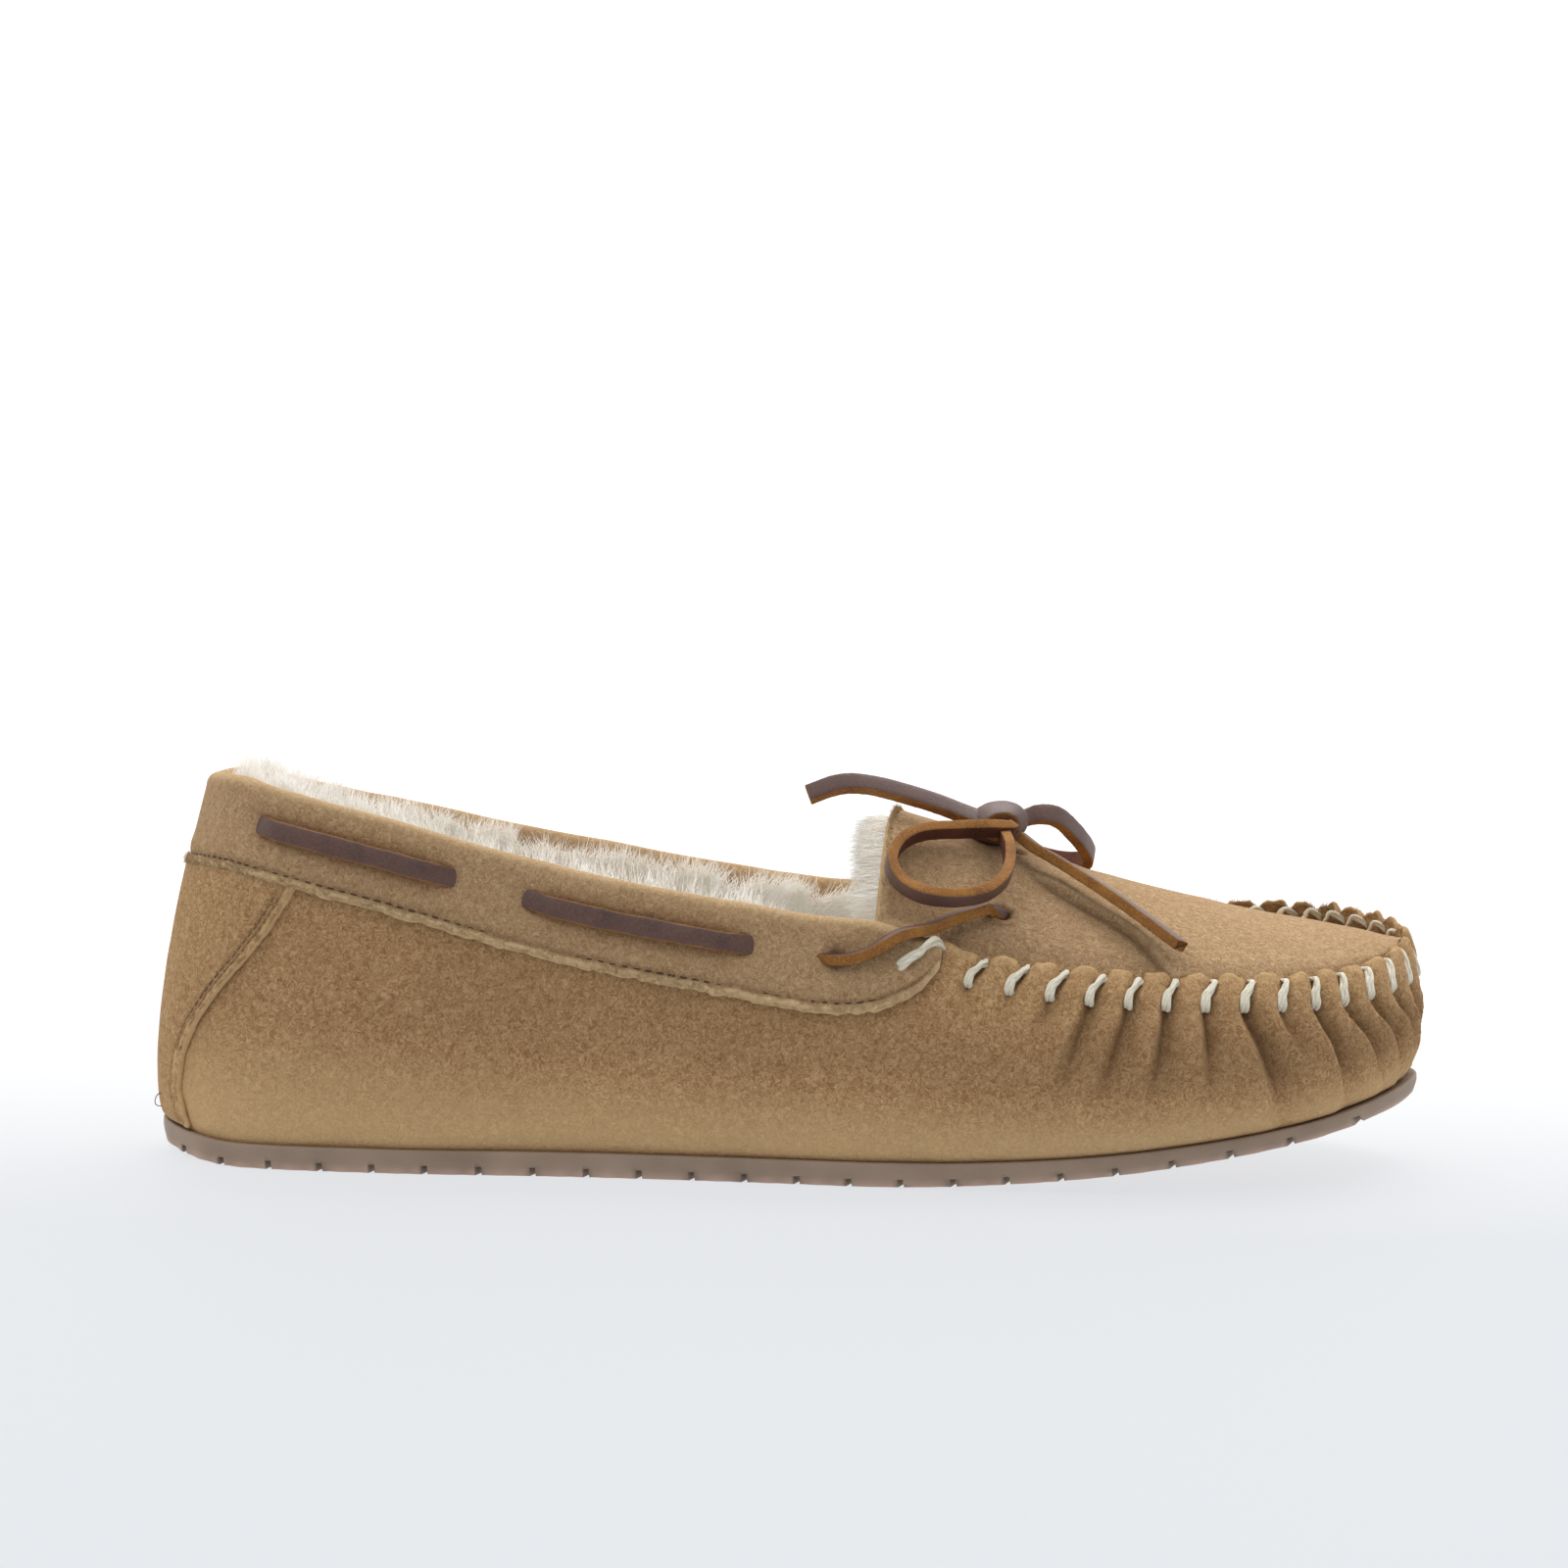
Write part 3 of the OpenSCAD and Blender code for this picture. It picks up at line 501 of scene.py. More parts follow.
def make_camera():
    """The photo's view: from the outer side, a little above, with the shoe in the lower half."""
    back = Vector((0, -math.cos(EYE_ELEVATION), math.sin(EYE_ELEVATION)))
    cam = bpy.data.cameras.new("camera")
    cam.sensor_width = 36
    cam.lens = 36 * EYE_DISTANCE / FRAME_WIDTH
    cam.clip_start, cam.clip_end = 0.1, 30
    ob = bpy.data.objects.new("camera", cam)
    bpy.context.scene.collection.objects.link(ob)
    look = Matrix.Translation(EYE_TARGET + back * EYE_DISTANCE)
    for angle, axis in ((SIDE_TILT, "Z"), (math.pi / 2 - EYE_ELEVATION + UP_TILT, "X"), (ROLL, "Z")):
        look = look @ Matrix.Rotation(angle, 4, axis)
    ob.matrix_world = look
    bpy.context.scene.camera = ob


def area_light(name, place, aim, size, power):
    light = bpy.data.lights.new(name, "AREA")
    light.shape, light.size, light.size_y = "RECTANGLE", size[0], size[1]
    light.energy = power
    ob = bpy.data.objects.new(name, light)
    ob.location = place
    ob.rotation_euler = (Vector(aim) - Vector(place)).to_track_quat("-Z", "Y").to_euler()
    bpy.context.scene.collection.objects.link(ob)


def make_stage():
    scene = bpy.context.scene
    scene.view_settings.view_transform = "Standard"
    world = bpy.data.worlds.new("studio")
    world.use_nodes = True
    sky = world.node_tree
    look = add(sky, "TexCoord", {}, "Generated")
    high, back = (add(sky, "MapRange", {0: add(sky, "SeparateXYZ", {0: look}, axis), 1: a, 2: b, 3: c, 4: d})
                  for axis, a, b, c, d in (("Z", -0.1, 0.75, 0.26, 1.62), ("Y", -1.0, 0.4, 0.3, 1.0)))
    glow = add(sky, "Math", {0: high, 1: back}, operation="MULTIPLY")
    sky.links.new(glow, sky.nodes["Background"].inputs[1])
    sky.nodes["Background"].inputs[0].default_value = (1, 1, 1, 1)
    scene.world = world
    area_light("key", (-0.9, -1.0, 1.5), (0, 0, 0.03), (1.2, 0.9), 3.2)
    area_light("top", (0.25, 0.95, 1.5), (0, 0, 0.03), (1.6, 0.8), 17)
    m = Paint("floor", 0.7, Specular_IOR_Level=0.1, Base_Color=(0.1, 0.1, 0.1, 1), Emission_Strength=1.0)
    # The floor glows less in front of the slipper than behind it: a painted broad shadow.
    far = add(m.tree, "SeparateXYZ", {0: m.place}, "Y")
    m.link(m.mix(m.spread(far, -0.1, 0.35), (0.62, 0.64, 0.67, 1), (1, 1, 1, 1)), "Emission Color")
    half, near, far_y, rise, arc = 4.0, -3.0, 1.6, 3.0, 0.8
    line = [(near, 0.0), (far_y - arc, 0.0)]
    line += [(far_y - arc + arc * math.sin(a), arc - arc * math.cos(a))
             for a in np.linspace(0.1, math.pi / 2, 12)]
    line += [(far_y, rise)]
    verts = [(x, y, z) for y, z in line for x in (-half, half)]
    faces = [(2 * i, 2 * i + 1, 2 * i + 3, 2 * i + 2) for i in range(len(line) - 1)]
    me = bpy.data.meshes.new("floor")
    me.from_pydata(verts, [], faces)
    me.polygons.foreach_set("use_smooth", np.ones(len(faces), bool))
    me.materials.append(m.mat)
    floor = bpy.data.objects.new("floor", me)
    scene.collection.objects.link(floor)


make_camera()
make_stage()


# ---- thin leather panels ------------------------------------------------------------------------
def round_ends(outer, inner, steps=(0.8, 1.35)):
    """Adds columns at both ends that bring the two skins together over a half-round edge."""
    def cap(o0, i0, o1):
        mid, arm = (o0 + i0) / 2, (o0 - i0) / 2
        reach = np.linalg.norm(arm, axis=-1, keepdims=True)
        away = unit(o0 - o1)
        return [(mid + arm * math.cos(a) + away * reach * math.sin(a),
                 mid - arm * math.cos(a) + away * reach * math.sin(a)) for a in steps]
    first = cap(outer[0], inner[0], outer[1])[::-1]
    last = cap(outer[-1], inner[-1], outer[-2])
    return (np.concatenate([[o for o, _ in first], outer, [o for o, _ in last]]),
            np.concatenate([[i for _, i in first], inner, [i for _, i in last]]))


def panel(name, outer, inner, painted_light_and_raw_edge, mat, replaces, ring=False, inner_rows=8):
    """A closed leather panel from two grids of points, columns by rows."""
    if not ring:
        painted_light_and_raw_edge = np.pad(painted_light_and_raw_edge, ((2, 2), (0, 0)), mode="edge")
        outer, inner = round_ends(outer, inner)
    loops = section_loops(outer, inner, inner_rows)
    rows = outer.shape[1]
    full_light_and_edge = np.zeros(loops.shape[:2])
    full_light_and_edge[:, :rows] = painted_light_and_raw_edge
    full_light_and_edge[:, rows:rows + 3] = painted_light_and_raw_edge[:, -1:]
    full_light_and_edge[:, -3:] = painted_light_and_raw_edge[:, :1]
    return make_piece(name, loops, tube_faces(*loops.shape[:2], ring), [mat], replaces=replaces,
                      attrs={"painted_light_and_raw_edge": full_light_and_edge})


WHIPS = 29
WHIP_FIRST = 5.03
WHIP_S = np.linspace(WHIP_FIRST, FULL - WHIP_FIRST, WHIPS)
WHIP_STEP = WHIP_S[1] - WHIP_S[0]
LEAN = 0.075
HOLE_DROP = 5.8
# how deep each gather is, how far down the wall it runs, and how far it slants towards the toe for each
# millimetre down, from the first stitch to the one at the tip
DEPTH = [0.8, 1.2, 2.0, 2.9, 3.1, 3.2, 2.8, 3.8, 2.4, 3.5, 3.6, 3.8, 3.8, 3.5, 3.2]
REACH = [12, 14, 18, 30, 32, 32, 28, 36, 22, 34, 30, 32, 32, 30, 30]
SLANT = [-0.3, -0.3, -0.3, -0.3, -0.3, -0.2, 0, 0.35, 0.3, 0.4, 0.7, 0.8, 0.8, 0.6, 0]


def both_sides(values, sign=1):
    return np.array(list(values) + [sign * v for v in values[-2::-1]], float)


GATHER_DEPTH, GATHER_REACH, GATHER_SLANT = both_sides(DEPTH), both_sides(REACH), both_sides(SLANT, -1)


def whip_shift(drop):
    """How far back from its top a whipstitch lies at a drop below the edge, in stations."""
    return LEAN * np.clip(drop / HOLE_DROP, 0, 1)


def far_side(s):
    """0 along the outer side of the rim, 1 beyond the tip."""
    return ease(s, 7.3, 8.6)


def rim_lift(s):
    """How far the gathered rim stands above its line: sunk on the outer side, proud beyond the tip."""
    return -2.0 + 3.2 * far_side(s)


def lobe_of(off):
    """Rounded top of the rim between two stitches. off is the distance from the nearest one, in pitches."""
    return np.sqrt(np.clip(1 - (1 - 2 * np.abs(off)) ** 2, 0, 1))


def gathers(s, drop):
    """Relief of the gathered toe: (outwards, up) in millimetres, and painted shade: darker along each crease,
    in the stitch holes and in the channel under each stitch.
    """
    out, painted_light_and_raw_edge = np.zeros_like(drop), np.zeros_like(drop)
    below = np.maximum(drop - HOLE_DROP, 0)
    for top, depth, reach, slant in zip(WHIP_S, GATHER_DEPTH, GATHER_REACH, GATHER_SLANT):
        rate = speed(top)
        line = top - whip_shift(drop) + slant * below * ease(below, -4, 8) / rate
        x = (s - line) * rate * (1 if top <= TIP else -1)
        sharp = bell(x, 0.95 + 0.06 * below)
        soft = np.exp(-(np.abs(x) / (2.5 + 0.14 * below)) ** 1.3)
        fade = ease(drop, 2.5, 6.5) * (1 - ease(drop, 0.35 * reach, reach)) * depth
        pit = bell(x, 0.75) * bell(drop - HOLE_DROP - 0.9, 0.8)
        out = np.maximum.reduce([out, np.where(x < 0, sharp, soft) * fade, pit * 1.5])
        # painted shade along each crease, spreading on its toe side, and in the stitch holes
        painted_light_and_raw_edge = np.maximum.reduce([painted_light_and_raw_edge, bell(x, 0.8) * fade * 0.29, np.where(x > 0, soft, sharp) * fade * 0.2,
                                  pit * 1.3])
    place = (s + whip_shift(drop) - WHIP_S[0]) / WHIP_STEP
    off = np.clip(place, -0.7, WHIPS - 0.3) - np.round(np.clip(place, 0, WHIPS - 1))
    channel = bell(off * WHIP_STEP * speed(s), 1.25)
    inside = ease(place, -1, -0.4) * (1 - ease(place, WHIPS - 0.6, WHIPS))
    near_rim = (1 - ease(drop, 4.2, 8)) * inside
    lobe = lobe_of(off)
    outwards = (0.9 * lobe - 0.7 * channel) * near_rim - out + 0.25 * ease(drop, 3, 10) * inside
    outwards = outwards + 0.8 * lobe * ease(drop, 4, 9) * (1 - ease(drop, 10, 26)) * inside
    up = (1.7 * lobe - 0.8 * channel + rim_lift(s)) * (1 - ease(drop, 0, 7)) * inside
    # painted shade also in the channel under each stitch
    return outwards, up, -np.clip(np.maximum(painted_light_and_raw_edge, channel * near_rim * 0.35), 0, 1)


def leather_waves(p, fine=1.0):
    """Slow unevenness of a leather skin, in millimetres."""
    return 0.3 * cloud(p, 26, 11, 2) + 0.09 * fine * noise(p, 5, 17)


def ring_drop(s):
    """Drop of the vamp's upper edge: tucked under the collar, up to the rim at the toe."""
    lap = COLLAR_END - 0.1
    return (COLLAR_DROP - TUCK) * np.clip((lap - from_heel(s)) / (lap - VAMP_OPEN), 0, 1)


def make_vamp():
    front, back = 4.7, FULL - 4.7
    s = np.concatenate([np.linspace(front, back, 540, endpoint=False),
                        np.linspace(back, FULL + front, 250, endpoint=False)])[:, None]
    t = share_down(s, ring_drop(s)) * np.linspace(0, 1, 60)
    drop = (1 - t) * wall_height(s)
    out, up, painted_light_and_raw_edge = gathers(s % FULL, drop)
    base, n = wall(s, t), outward(s + 0 * t)
    outer = base + n * (out + leather_waves(base) * ease(drop, 0, 6))[..., None]
    outer[..., 2] += up
    outer[..., 2] += noise(outer, 1.6, 23) * (drop < 1.2) * (0.35 + 0.6 * ease(s % FULL, 7.6, 8.4))
    # Lighter towards the foot of the wall: painted light from the floor. The pale raw top edge is the
    # leather's own colour.
    painted_light_and_raw_edge = painted_light_and_raw_edge + 0.7 * (1 - ease(t, 0.02, 0.4)) + 0.4 * (1 - ease(drop, 0.2, 1.3))
    # Darker across the middle of the wall, in front of the heel: painted shade.
    painted_light_and_raw_edge = painted_light_and_raw_edge - 0.22 * bell(t - 0.5, 0.2) * ease(base[..., 0], -105, -60)
    panel("vamp_suede", outer, outer - n * SUEDE_T, np.clip(painted_light_and_raw_edge, -1, 1), SUEDE, ["vamp"], ring=True)


CURL_FROM = 4.3


def curl(s):
    """Drop of the collar's lower edge: level, then curling up to the collar's end."""
    past = np.maximum(np.abs(s) - CURL_FROM, 0) / (COLLAR_END - CURL_FROM)
    return COLLAR_DROP * np.maximum(0, 1 - past**2.2) ** 0.8


# Stations of the collar's slots and of the stretches where the lace shows between them.
SLOTS = (1.24, 2.35, 2.765, 3.835, 4.29)
LACE_RUNS = ((1.3, 2.29), (2.82, 3.78))
TOPSTITCH = 1.8  # height over the collar's lower edge


def collar_relief(s, drop, low):
    """Outward relief of the collar's outer skin, and its colour shift: slots, lace troughs, stitch line, raw
    edge. The slots, the lace's sides and the stitch line get painted shade; the raw edge is pale in its own
    colour.
    """
    k = np.abs(s)
    out, painted_light_and_raw_edge = np.zeros_like(drop), np.zeros_like(drop)
    dy = drop - LACE_DROP
    for slot in SLOTS:
        dx = (k - slot) * speed(s)
        slit = bell(dx, 1.3) * np.exp(-((np.abs(dy) / 2.1) ** 4))
        dent = bell(dx, 2.6) * bell(dy, 2.4)
        out += 0.35 * bell(dx, 6) * bell(np.abs(dy) - 5, 2.6) - 0.55 * dent - 0.5 * slit
        # painted shade in each slot's dent and slit
        painted_light_and_raw_edge -= 0.25 * dent + 0.75 * slit
    for a, b in LACE_RUNS:
        along = ease(k, a - 0.04, a + 0.08) * (1 - ease(k, b - 0.08, b + 0.04))
        out += along * (0.3 * bell(np.abs(dy) - 4.6, 2.2) - 0.4 * np.exp(-((dy / 2.3) ** 4)))
        # painted shade along both sides of the lace
        painted_light_and_raw_edge -= along * 0.12 * bell(np.abs(dy) - 2.3, 0.7)
    above = low - drop
    row = bell(above - TOPSTITCH, 0.4)
    out += 0.45 * bell(above - 0.7, 0.55) + 0.25 * bell(above - 4.2, 1.6) - 0.45 * row
    # pale raw edge in its own colour; painted shade in the stitch line
    painted_light_and_raw_edge += 0.95 * (1 - ease(above, 1.0, 1.5)) - 0.4 * row
    return out, painted_light_and_raw_edge


def collar_grid(s, r, legs=30, arc=14, flap=5):
    """Points of the collar's section at stations s for a skin at radius r of the roll, with drops."""
    n, up = outward(s), np.array([0, 0, 1.0])
    mid_d = OVER_D + ROLL_R
    line = np.concatenate([around(PLAN, s), 0 * s[..., None]], -1)
    foot = np.maximum(curl(s), ROLL_R + 0.4) + 0.22 * noise(line, 4, 31) + 0.2 * noise(line, 1.4, 33)
    drops = foot + (ROLL_R - foot) * np.linspace(0, 1, legs + 1)
    leg = at_drop(s, drops, mid_d - r)
    angles = np.linspace(0, np.pi, arc + 1)[1:, None]
    turn = at_drop(s, ROLL_R, mid_d) + r * (n * np.cos(angles) + up * np.sin(angles))
    end = at_drop(s, ROLL_R + 4, mid_d) - n * r
    tail = turn[:, -1:] + (end - turn[:, -1:]) * np.linspace(0, 1, flap + 1)[1:, None]
    return np.concatenate([leg, turn, tail], 1), drops, foot, n


def make_collar():
    half = COLLAR_END - 0.04
    line = np.linspace(-1, 1, 760)
    s = (half * np.sign(line) * np.abs(line) ** 0.92)[:, None]
    outer, drops, foot, n = collar_grid(s, ROLL_R)
    inner = collar_grid(s, ROLL_R - OVERLAY_T)[0]
    rows = drops.shape[1]
    fade = ease(half - np.abs(s), 0, 0.12)
    raw, painted_light_and_raw_edge = np.zeros((2, *outer.shape[:2]))
    out, painted_light_and_raw_edge[:, :rows] = collar_relief(s, drops, foot)
    outer[:, :rows] += n * (out * fade)[..., None]
    raw[:, :rows] = (1 - ease(foot - drops, 1.0, 1.5)) * fade
    outer += n * (0.38 * noise(outer, 1.2, 37) * raw)[..., None]
    outer += unit(outer - inner) * (0.72 * leather_waves(outer, 1.2))[..., None]
    # painted highlight along the top of the roll
    painted_light_and_raw_edge += 0.38 * bell(np.arange(outer.shape[1]) - rows - 5, 4.0)
    panel("collar_suede", outer, inner, np.clip(painted_light_and_raw_edge, -1, 1), SUEDE_COLLAR, ["collar"],
          inner_rows=14)


# Half width of the heel patch in stations, at each tenth of the wall's height, and its stitches' way in.
PATCH_HALF = np.array([0.62, 0.54, 0.6, 0.74, 0.94, 1.16, 1.33, 1.45, 1.54])
PATCH_STITCH = (1.6, 2.8)


def patch_at(j):
    """Half width of the heel patch, in stations, at height share j."""
    return np.interp(np.clip(j * 0.73, 0, 0.8) * 10, np.arange(len(PATCH_HALF)), PATCH_HALF)


def patch_point(u, j, d):
    """Point of the heel patch: u from -1 to 1 across it, j from 0 to 1 up it. Also gives its station."""
    s = u * patch_at(j)
    return wall(s, share_down(s, COLLAR_DROP + 0.3) * (0.02 + 0.98 * j), d), s


def make_heel_patch():
    j = np.linspace(0, 1, 110)[:, None]
    line = np.linspace(-1, 1, 150)
    u = np.sign(line) * np.abs(line) ** 0.75
    base, s = patch_point(u, j, OVER_D)
    edge = (1 - np.abs(u)) * patch_at(j) * speed(s)
    rows = sum(bell(edge - off, 0.4) for off in PATCH_STITCH)
    out = -0.28 * rows + 0.4 * bell(edge - 0.7, 0.6) + 0.25 * ease(edge, 3, 10)
    # pale raw edge in its own colour, painted shade in the stitch rows, and lighter towards the foot: painted
    # light from the floor
    painted_light_and_raw_edge = 0.9 * (1 - ease(edge, 0.8, 1.4)) - 0.3 * rows + 0.2 * (1 - ease(j, 0, 0.4))
    relief = out + leather_waves(base) + 0.35 * noise(base, 1.2, 41) * (edge < 1.4)
    panel("heel_patch_suede", base + outward(s) * relief[..., None], patch_point(u, j, -GAP)[0],
          np.clip(painted_light_and_raw_edge, -1, 1), SUEDE, ["heel_patch"], inner_rows=150)


# ---- plug and tongue ----------------------------------------------------------------------------
# The plug: its middle line's height along X, its stations, where the tongue ends (in shares of its length),
# and the places of the lace's holes as shares (u along, v across).
CREST_X = [17, 28, 47, 60, 79, 97, 112, 127]
CREST_Z = [73.5, 70, 64, 59.5, 54.5, 50.5, 48, 46]
PLUG_S0, PLUG_S1 = 4.84, 7.72
TONGUE_U = -0.13
CREST_POWER = 2.2
PLUG_T = 1.5
PLUG_LENGTH, PLUG_HALF_WIDTH = 107, 36
EYELET = (0.09, 0.75)
CREST_HOLE = (0.1, 0.13)


def crest_z(x):
    """Height of the plug's middle line."""
    return np.interp(x, CREST_X, CREST_Z)


def plug_edge(u, inner_side):
    k = PLUG_S0 + (PLUG_S1 - PLUG_S0) * u
    side = SUEDE_T + GAP + (2 * ROLL_R + 0.2 - OVERLAY_T) * np.clip(-u / 0.06 + 0.35, 0, 1)
    return at_drop(FULL - k if inner_side else k, 0.7, side)


def plug_pt(u, v, deep=0.0):
    u, v = np.broadcast_arrays(np.asarray(u, float), np.asarray(v, float))
    p, q = plug_edge(u, False), plug_edge(u, True)
    m, w = (p + q) / 2, (q[..., 1] - p[..., 1]) / 2
    c = crest_z(m[..., 0]) - m[..., 2]
    pull = deep / w
    point = p + (q - p) * ((1 + v * (1 - pull)) / 2)[..., None]
    point[..., 2] += c * (1 - np.abs(v) ** CREST_POWER) - deep
    return point


def plug_normal(u, v, e=0.004):
    """Upward normal of the plug."""
    n = unit(np.cross(plug_pt(u + e, v) - plug_pt(u - e, v), plug_pt(u, v + e) - plug_pt(u, v - e)))
    return n * np.sign(n[..., 2:3])


# the soft fold from the knot down to the rim, as shares (u, v) of the plug
FOLD = [(0.135, -0.36), (0.19, -0.44), (0.25, -0.53), (0.31, -0.63), (0.37, -0.76), (0.42, -0.93)]


def fold_relief(point):
    """The plug's fold: the toe side rides up over the heel side along a line. Gives the relief, and a painted
    highlight on the fold's crest with painted shadow below it.
    """
    line = catmull(FOLD, 12)
    at = plug_pt(line[:, 0], line[:, 1])
    best, x, along = np.full(point.shape[:2], 1e9), np.zeros(point.shape[:2]), np.zeros(point.shape[:2])
    for i in range(len(at) - 1):
        ab = at[i + 1] - at[i]
        f = np.clip((point - at[i]) @ ab / (ab @ ab), 0, 1)
        off = point - at[i] - f[..., None] * ab
        d = np.linalg.norm(off, axis=-1)
        near = d < best
        best = np.where(near, d, best)
        x = np.where(near, d * np.sign(ab[0] * off[..., 1] - ab[1] * off[..., 0]), x)
        along = np.where(near, (i + f) / (len(at) - 1), along)
    strength = ease(along, 0, 0.2) * (1 - 0.35 * ease(along, 0.85, 1.0))
    ends = bell(np.maximum(best - 14, 0), 5)
    high = 1.2 * np.exp(-np.maximum(x, 0) / 6) * ease(x, -0.3, 0.3)
    low = -1.0 * np.exp(np.minimum(x, 0) / 3) * (1 - ease(x, -0.3, 0.3))
    # painted highlight on the crest, painted shadow on the heel side below it
    painted_light_and_raw_edge = 0.55 * bell(x - 0.45, 0.5) - 0.6 * bell(x + 0.9, 1.0)
    painted_light_and_raw_edge -= 0.2 * np.exp(np.minimum(x, 0) / 4) * (x < 0)
    return (high + low) * strength * ends, painted_light_and_raw_edge * strength


def eyelet_pits(point):
    """Dimples where the lace goes through the plug, with painted shade in and round each one."""
    out, painted_light_and_raw_edge = 0.0, 0.0
    for u, v in (EYELET, CREST_HOLE):
        for side in (-1, 1):
            d = np.linalg.norm(point - plug_pt(u + 0.004, side * v), axis=-1)
            out = out - 1.45 * np.exp(-((d / 1.55) ** 4)) + 0.3 * bell(d - 2.6, 0.9)
            painted_light_and_raw_edge = painted_light_and_raw_edge - np.exp(-((d / 1.6) ** 4)) - 0.25 * bell(d, 3)
    return out, painted_light_and_raw_edge


def make_plug():
    turn = 0.94 * math.pi / 2
    v = (np.sin(np.linspace(-1, 1, 190) * turn) / math.sin(turn))[:, None]
    u = np.concatenate([np.linspace(TONGUE_U, 0.05, 60, endpoint=False), np.linspace(0.05, 1, 190)])
    base, n = plug_pt(u, v), plug_normal(u, v)
    front = (1.3 * ease(u, 0.95, 1))[:, None] * np.array([1.0, 0, 0])
    base += front
    fold, fold_highlight_and_shadow = fold_relief(base)
    pits, pit_shade = eyelet_pits(base)
    swell = 0.35 * cloud(base, 24, 53, 2) + 0.06 * noise(base, 4, 59)
    side_edge = (1 - np.abs(v)) * PLUG_HALF_WIDTH
    dip = 2.1 * bell(side_edge, 3.4) * ease(u, -0.02, 0.05) * (v < 0)
    outer = base + n * (fold + pits + swell)[..., None]
    inner = plug_pt(u, v, PLUG_T) + front + n * (fold + np.minimum(swell, 0.2))[..., None]
    for skin in (outer, inner):
        skin[..., 2] -= dip
    edge = np.minimum((u - TONGUE_U) * PLUG_LENGTH, side_edge + np.maximum(u, 0) * 300)
    # painted shade near the tongue end; the pale raw edge is the leather's own colour
    painted_light_and_raw_edge = fold_highlight_and_shadow + pit_shade - 0.2 * (1 - ease(u, 0.05, 0.4)) + 0.8 * (1 - ease(edge, 0.4, 1.5))
    panel("plug_suede", outer, inner, np.clip(painted_light_and_raw_edge, -1, 1), SUEDE_PLUG, ["plug"],
          inner_rows=24)


# ---- lace ---------------------------------------------------------------------------------------
HALF = LACE_W / 2
SQUEEZED = 1.15
LACE_OUT = -2 * GAP - OVERLAY_T - LACE_T / 2
LACE_IN = LACE_T / 2 + 0.1
# stations where the lace dives into the collar or comes out again, with its depth there
DIVES = np.array([[1.15, LACE_IN], [1.33, LACE_OUT], [2.26, LACE_OUT], [2.43, LACE_IN], [2.68, LACE_IN],
                  [2.85, LACE_OUT], [3.75, LACE_OUT], [3.92, LACE_IN], [4.2, LACE_IN], [4.38, LACE_OUT]])
KNOT = np.array([41.2, -6, 69.9])


def strip_section(half, thick):
    """Rounded section of a cut leather strip as (across, up) pairs, with the kind of each face."""
    r, low = 0.28, thick / 2
    flat = np.linspace(-1, 1, 6)
    edge = np.linspace(low - r, r - low, 4)
    rows = [((half - r) * k, low + 0.06 * (1 - k * k)) for k in flat]
    rows += [(half - 0.3 * r, low - 0.3 * r)] + [(half + 0.05, y) for y in edge]
    rows += [(half - 0.15 * r, 0.15 * r - low)]
    rows += [((half - 0.4 * r) * k, -low) for k in flat[::-1]]
    rows += [(0.15 * r - half, 0.15 * r - low)] + [(-half - 0.05, y) for y in edge[::-1]]
    rows += [(0.3 * r - half, low - 0.3 * r)]
    kinds = [0] * 6 + [1] * 5 + [2] * 7 + [1] * 5 + [0]
    return np.array(rows), kinds


def lace_strip(name, line, body, replaces, seed, closed=False, core=None):
    """A strip of leather along rows of point, face and half width: grain on the side of face, flesh on the
    other, cut edges between. core is (points, face arrays) of packed strands inside it."""
    p, half = line[:, :3], line[:, 6:]
    t = unit(np.roll(p, -1, 0) - np.roll(p, 1, 0)) if closed else tangents(p)
    w = unit(np.cross(line[:, 3:6], t))
    f = unit(np.cross(t, w))
    shape, kinds = strip_section(1.0, LACE_T)
    x = shape[:, 0]
    across = np.where(np.abs(x) > 0.5, np.sign(x) * (half - 1 + np.abs(x)), x * half)
    loops = p[:, None] + w[:, None] * across[..., None] + f[:, None] * shape[None, :, 1:2]
    cut = np.array([k != 0 for k in kinds])
    rough = 0.05 * noise(loops, 0.7, seed) * cut + 0.1 * noise(loops, 5, seed + 1)
    loops = loops + w[:, None] * (np.sign(across) * rough)[..., None]
    loops = loops + f[:, None] * (0.06 * noise(loops, 0.8, seed + 2) * cut)[..., None]
    if not closed:
        tips = [ring.mean(0) + (ring - ring.mean(0)) * 0.9 + ahead * 0.16
                for ring, ahead in ((loops[0], -t[0]), (loops[-1], t[-1]))]
        loops = np.concatenate([tips[:1], loops, tips[1:]])
    nu, nv = loops.shape[:2]
    faces = tube_faces(nu, nv, closed)
    index = list(np.tile(kinds, nu if closed else nu - 1))
    if not closed:
        index[:nv] = index[-nv:] = [1] * nv
    index += [1] * sum(len(c) for c in faces[1:])
    verts = loops.reshape(-1, 3)
    if core is not None:
        faces += [g + len(verts) for g in core[1]]
        index += [2] * sum(len(g) for g in core[1])
        verts = np.concatenate([verts, core[0]])
    return make_piece(name, verts, faces, [LACE_GRAIN, LACE_CUT, LACE_FLESH], body, replaces, index)


def wall_n(s, t):
    """Outward normal of the wall."""
    return unit(np.cross(wall(s + 0.03, t) - wall(s - 0.03, t), wall(s, t + 0.03) - wall(s, t - 0.03)))


def roll_row(s, degrees, out):
    """Row of a line that rides round the collar's roll: point, face and half width."""
    n, a = out_of(s), math.radians(degrees)
    u = np.array([n[0] * math.cos(a), n[1] * math.cos(a), math.sin(a)])
    return [*(at_drop(s, ROLL_R, ROLL_R + OVER_D) + u * (ROLL_R + out)), *u, HALF]


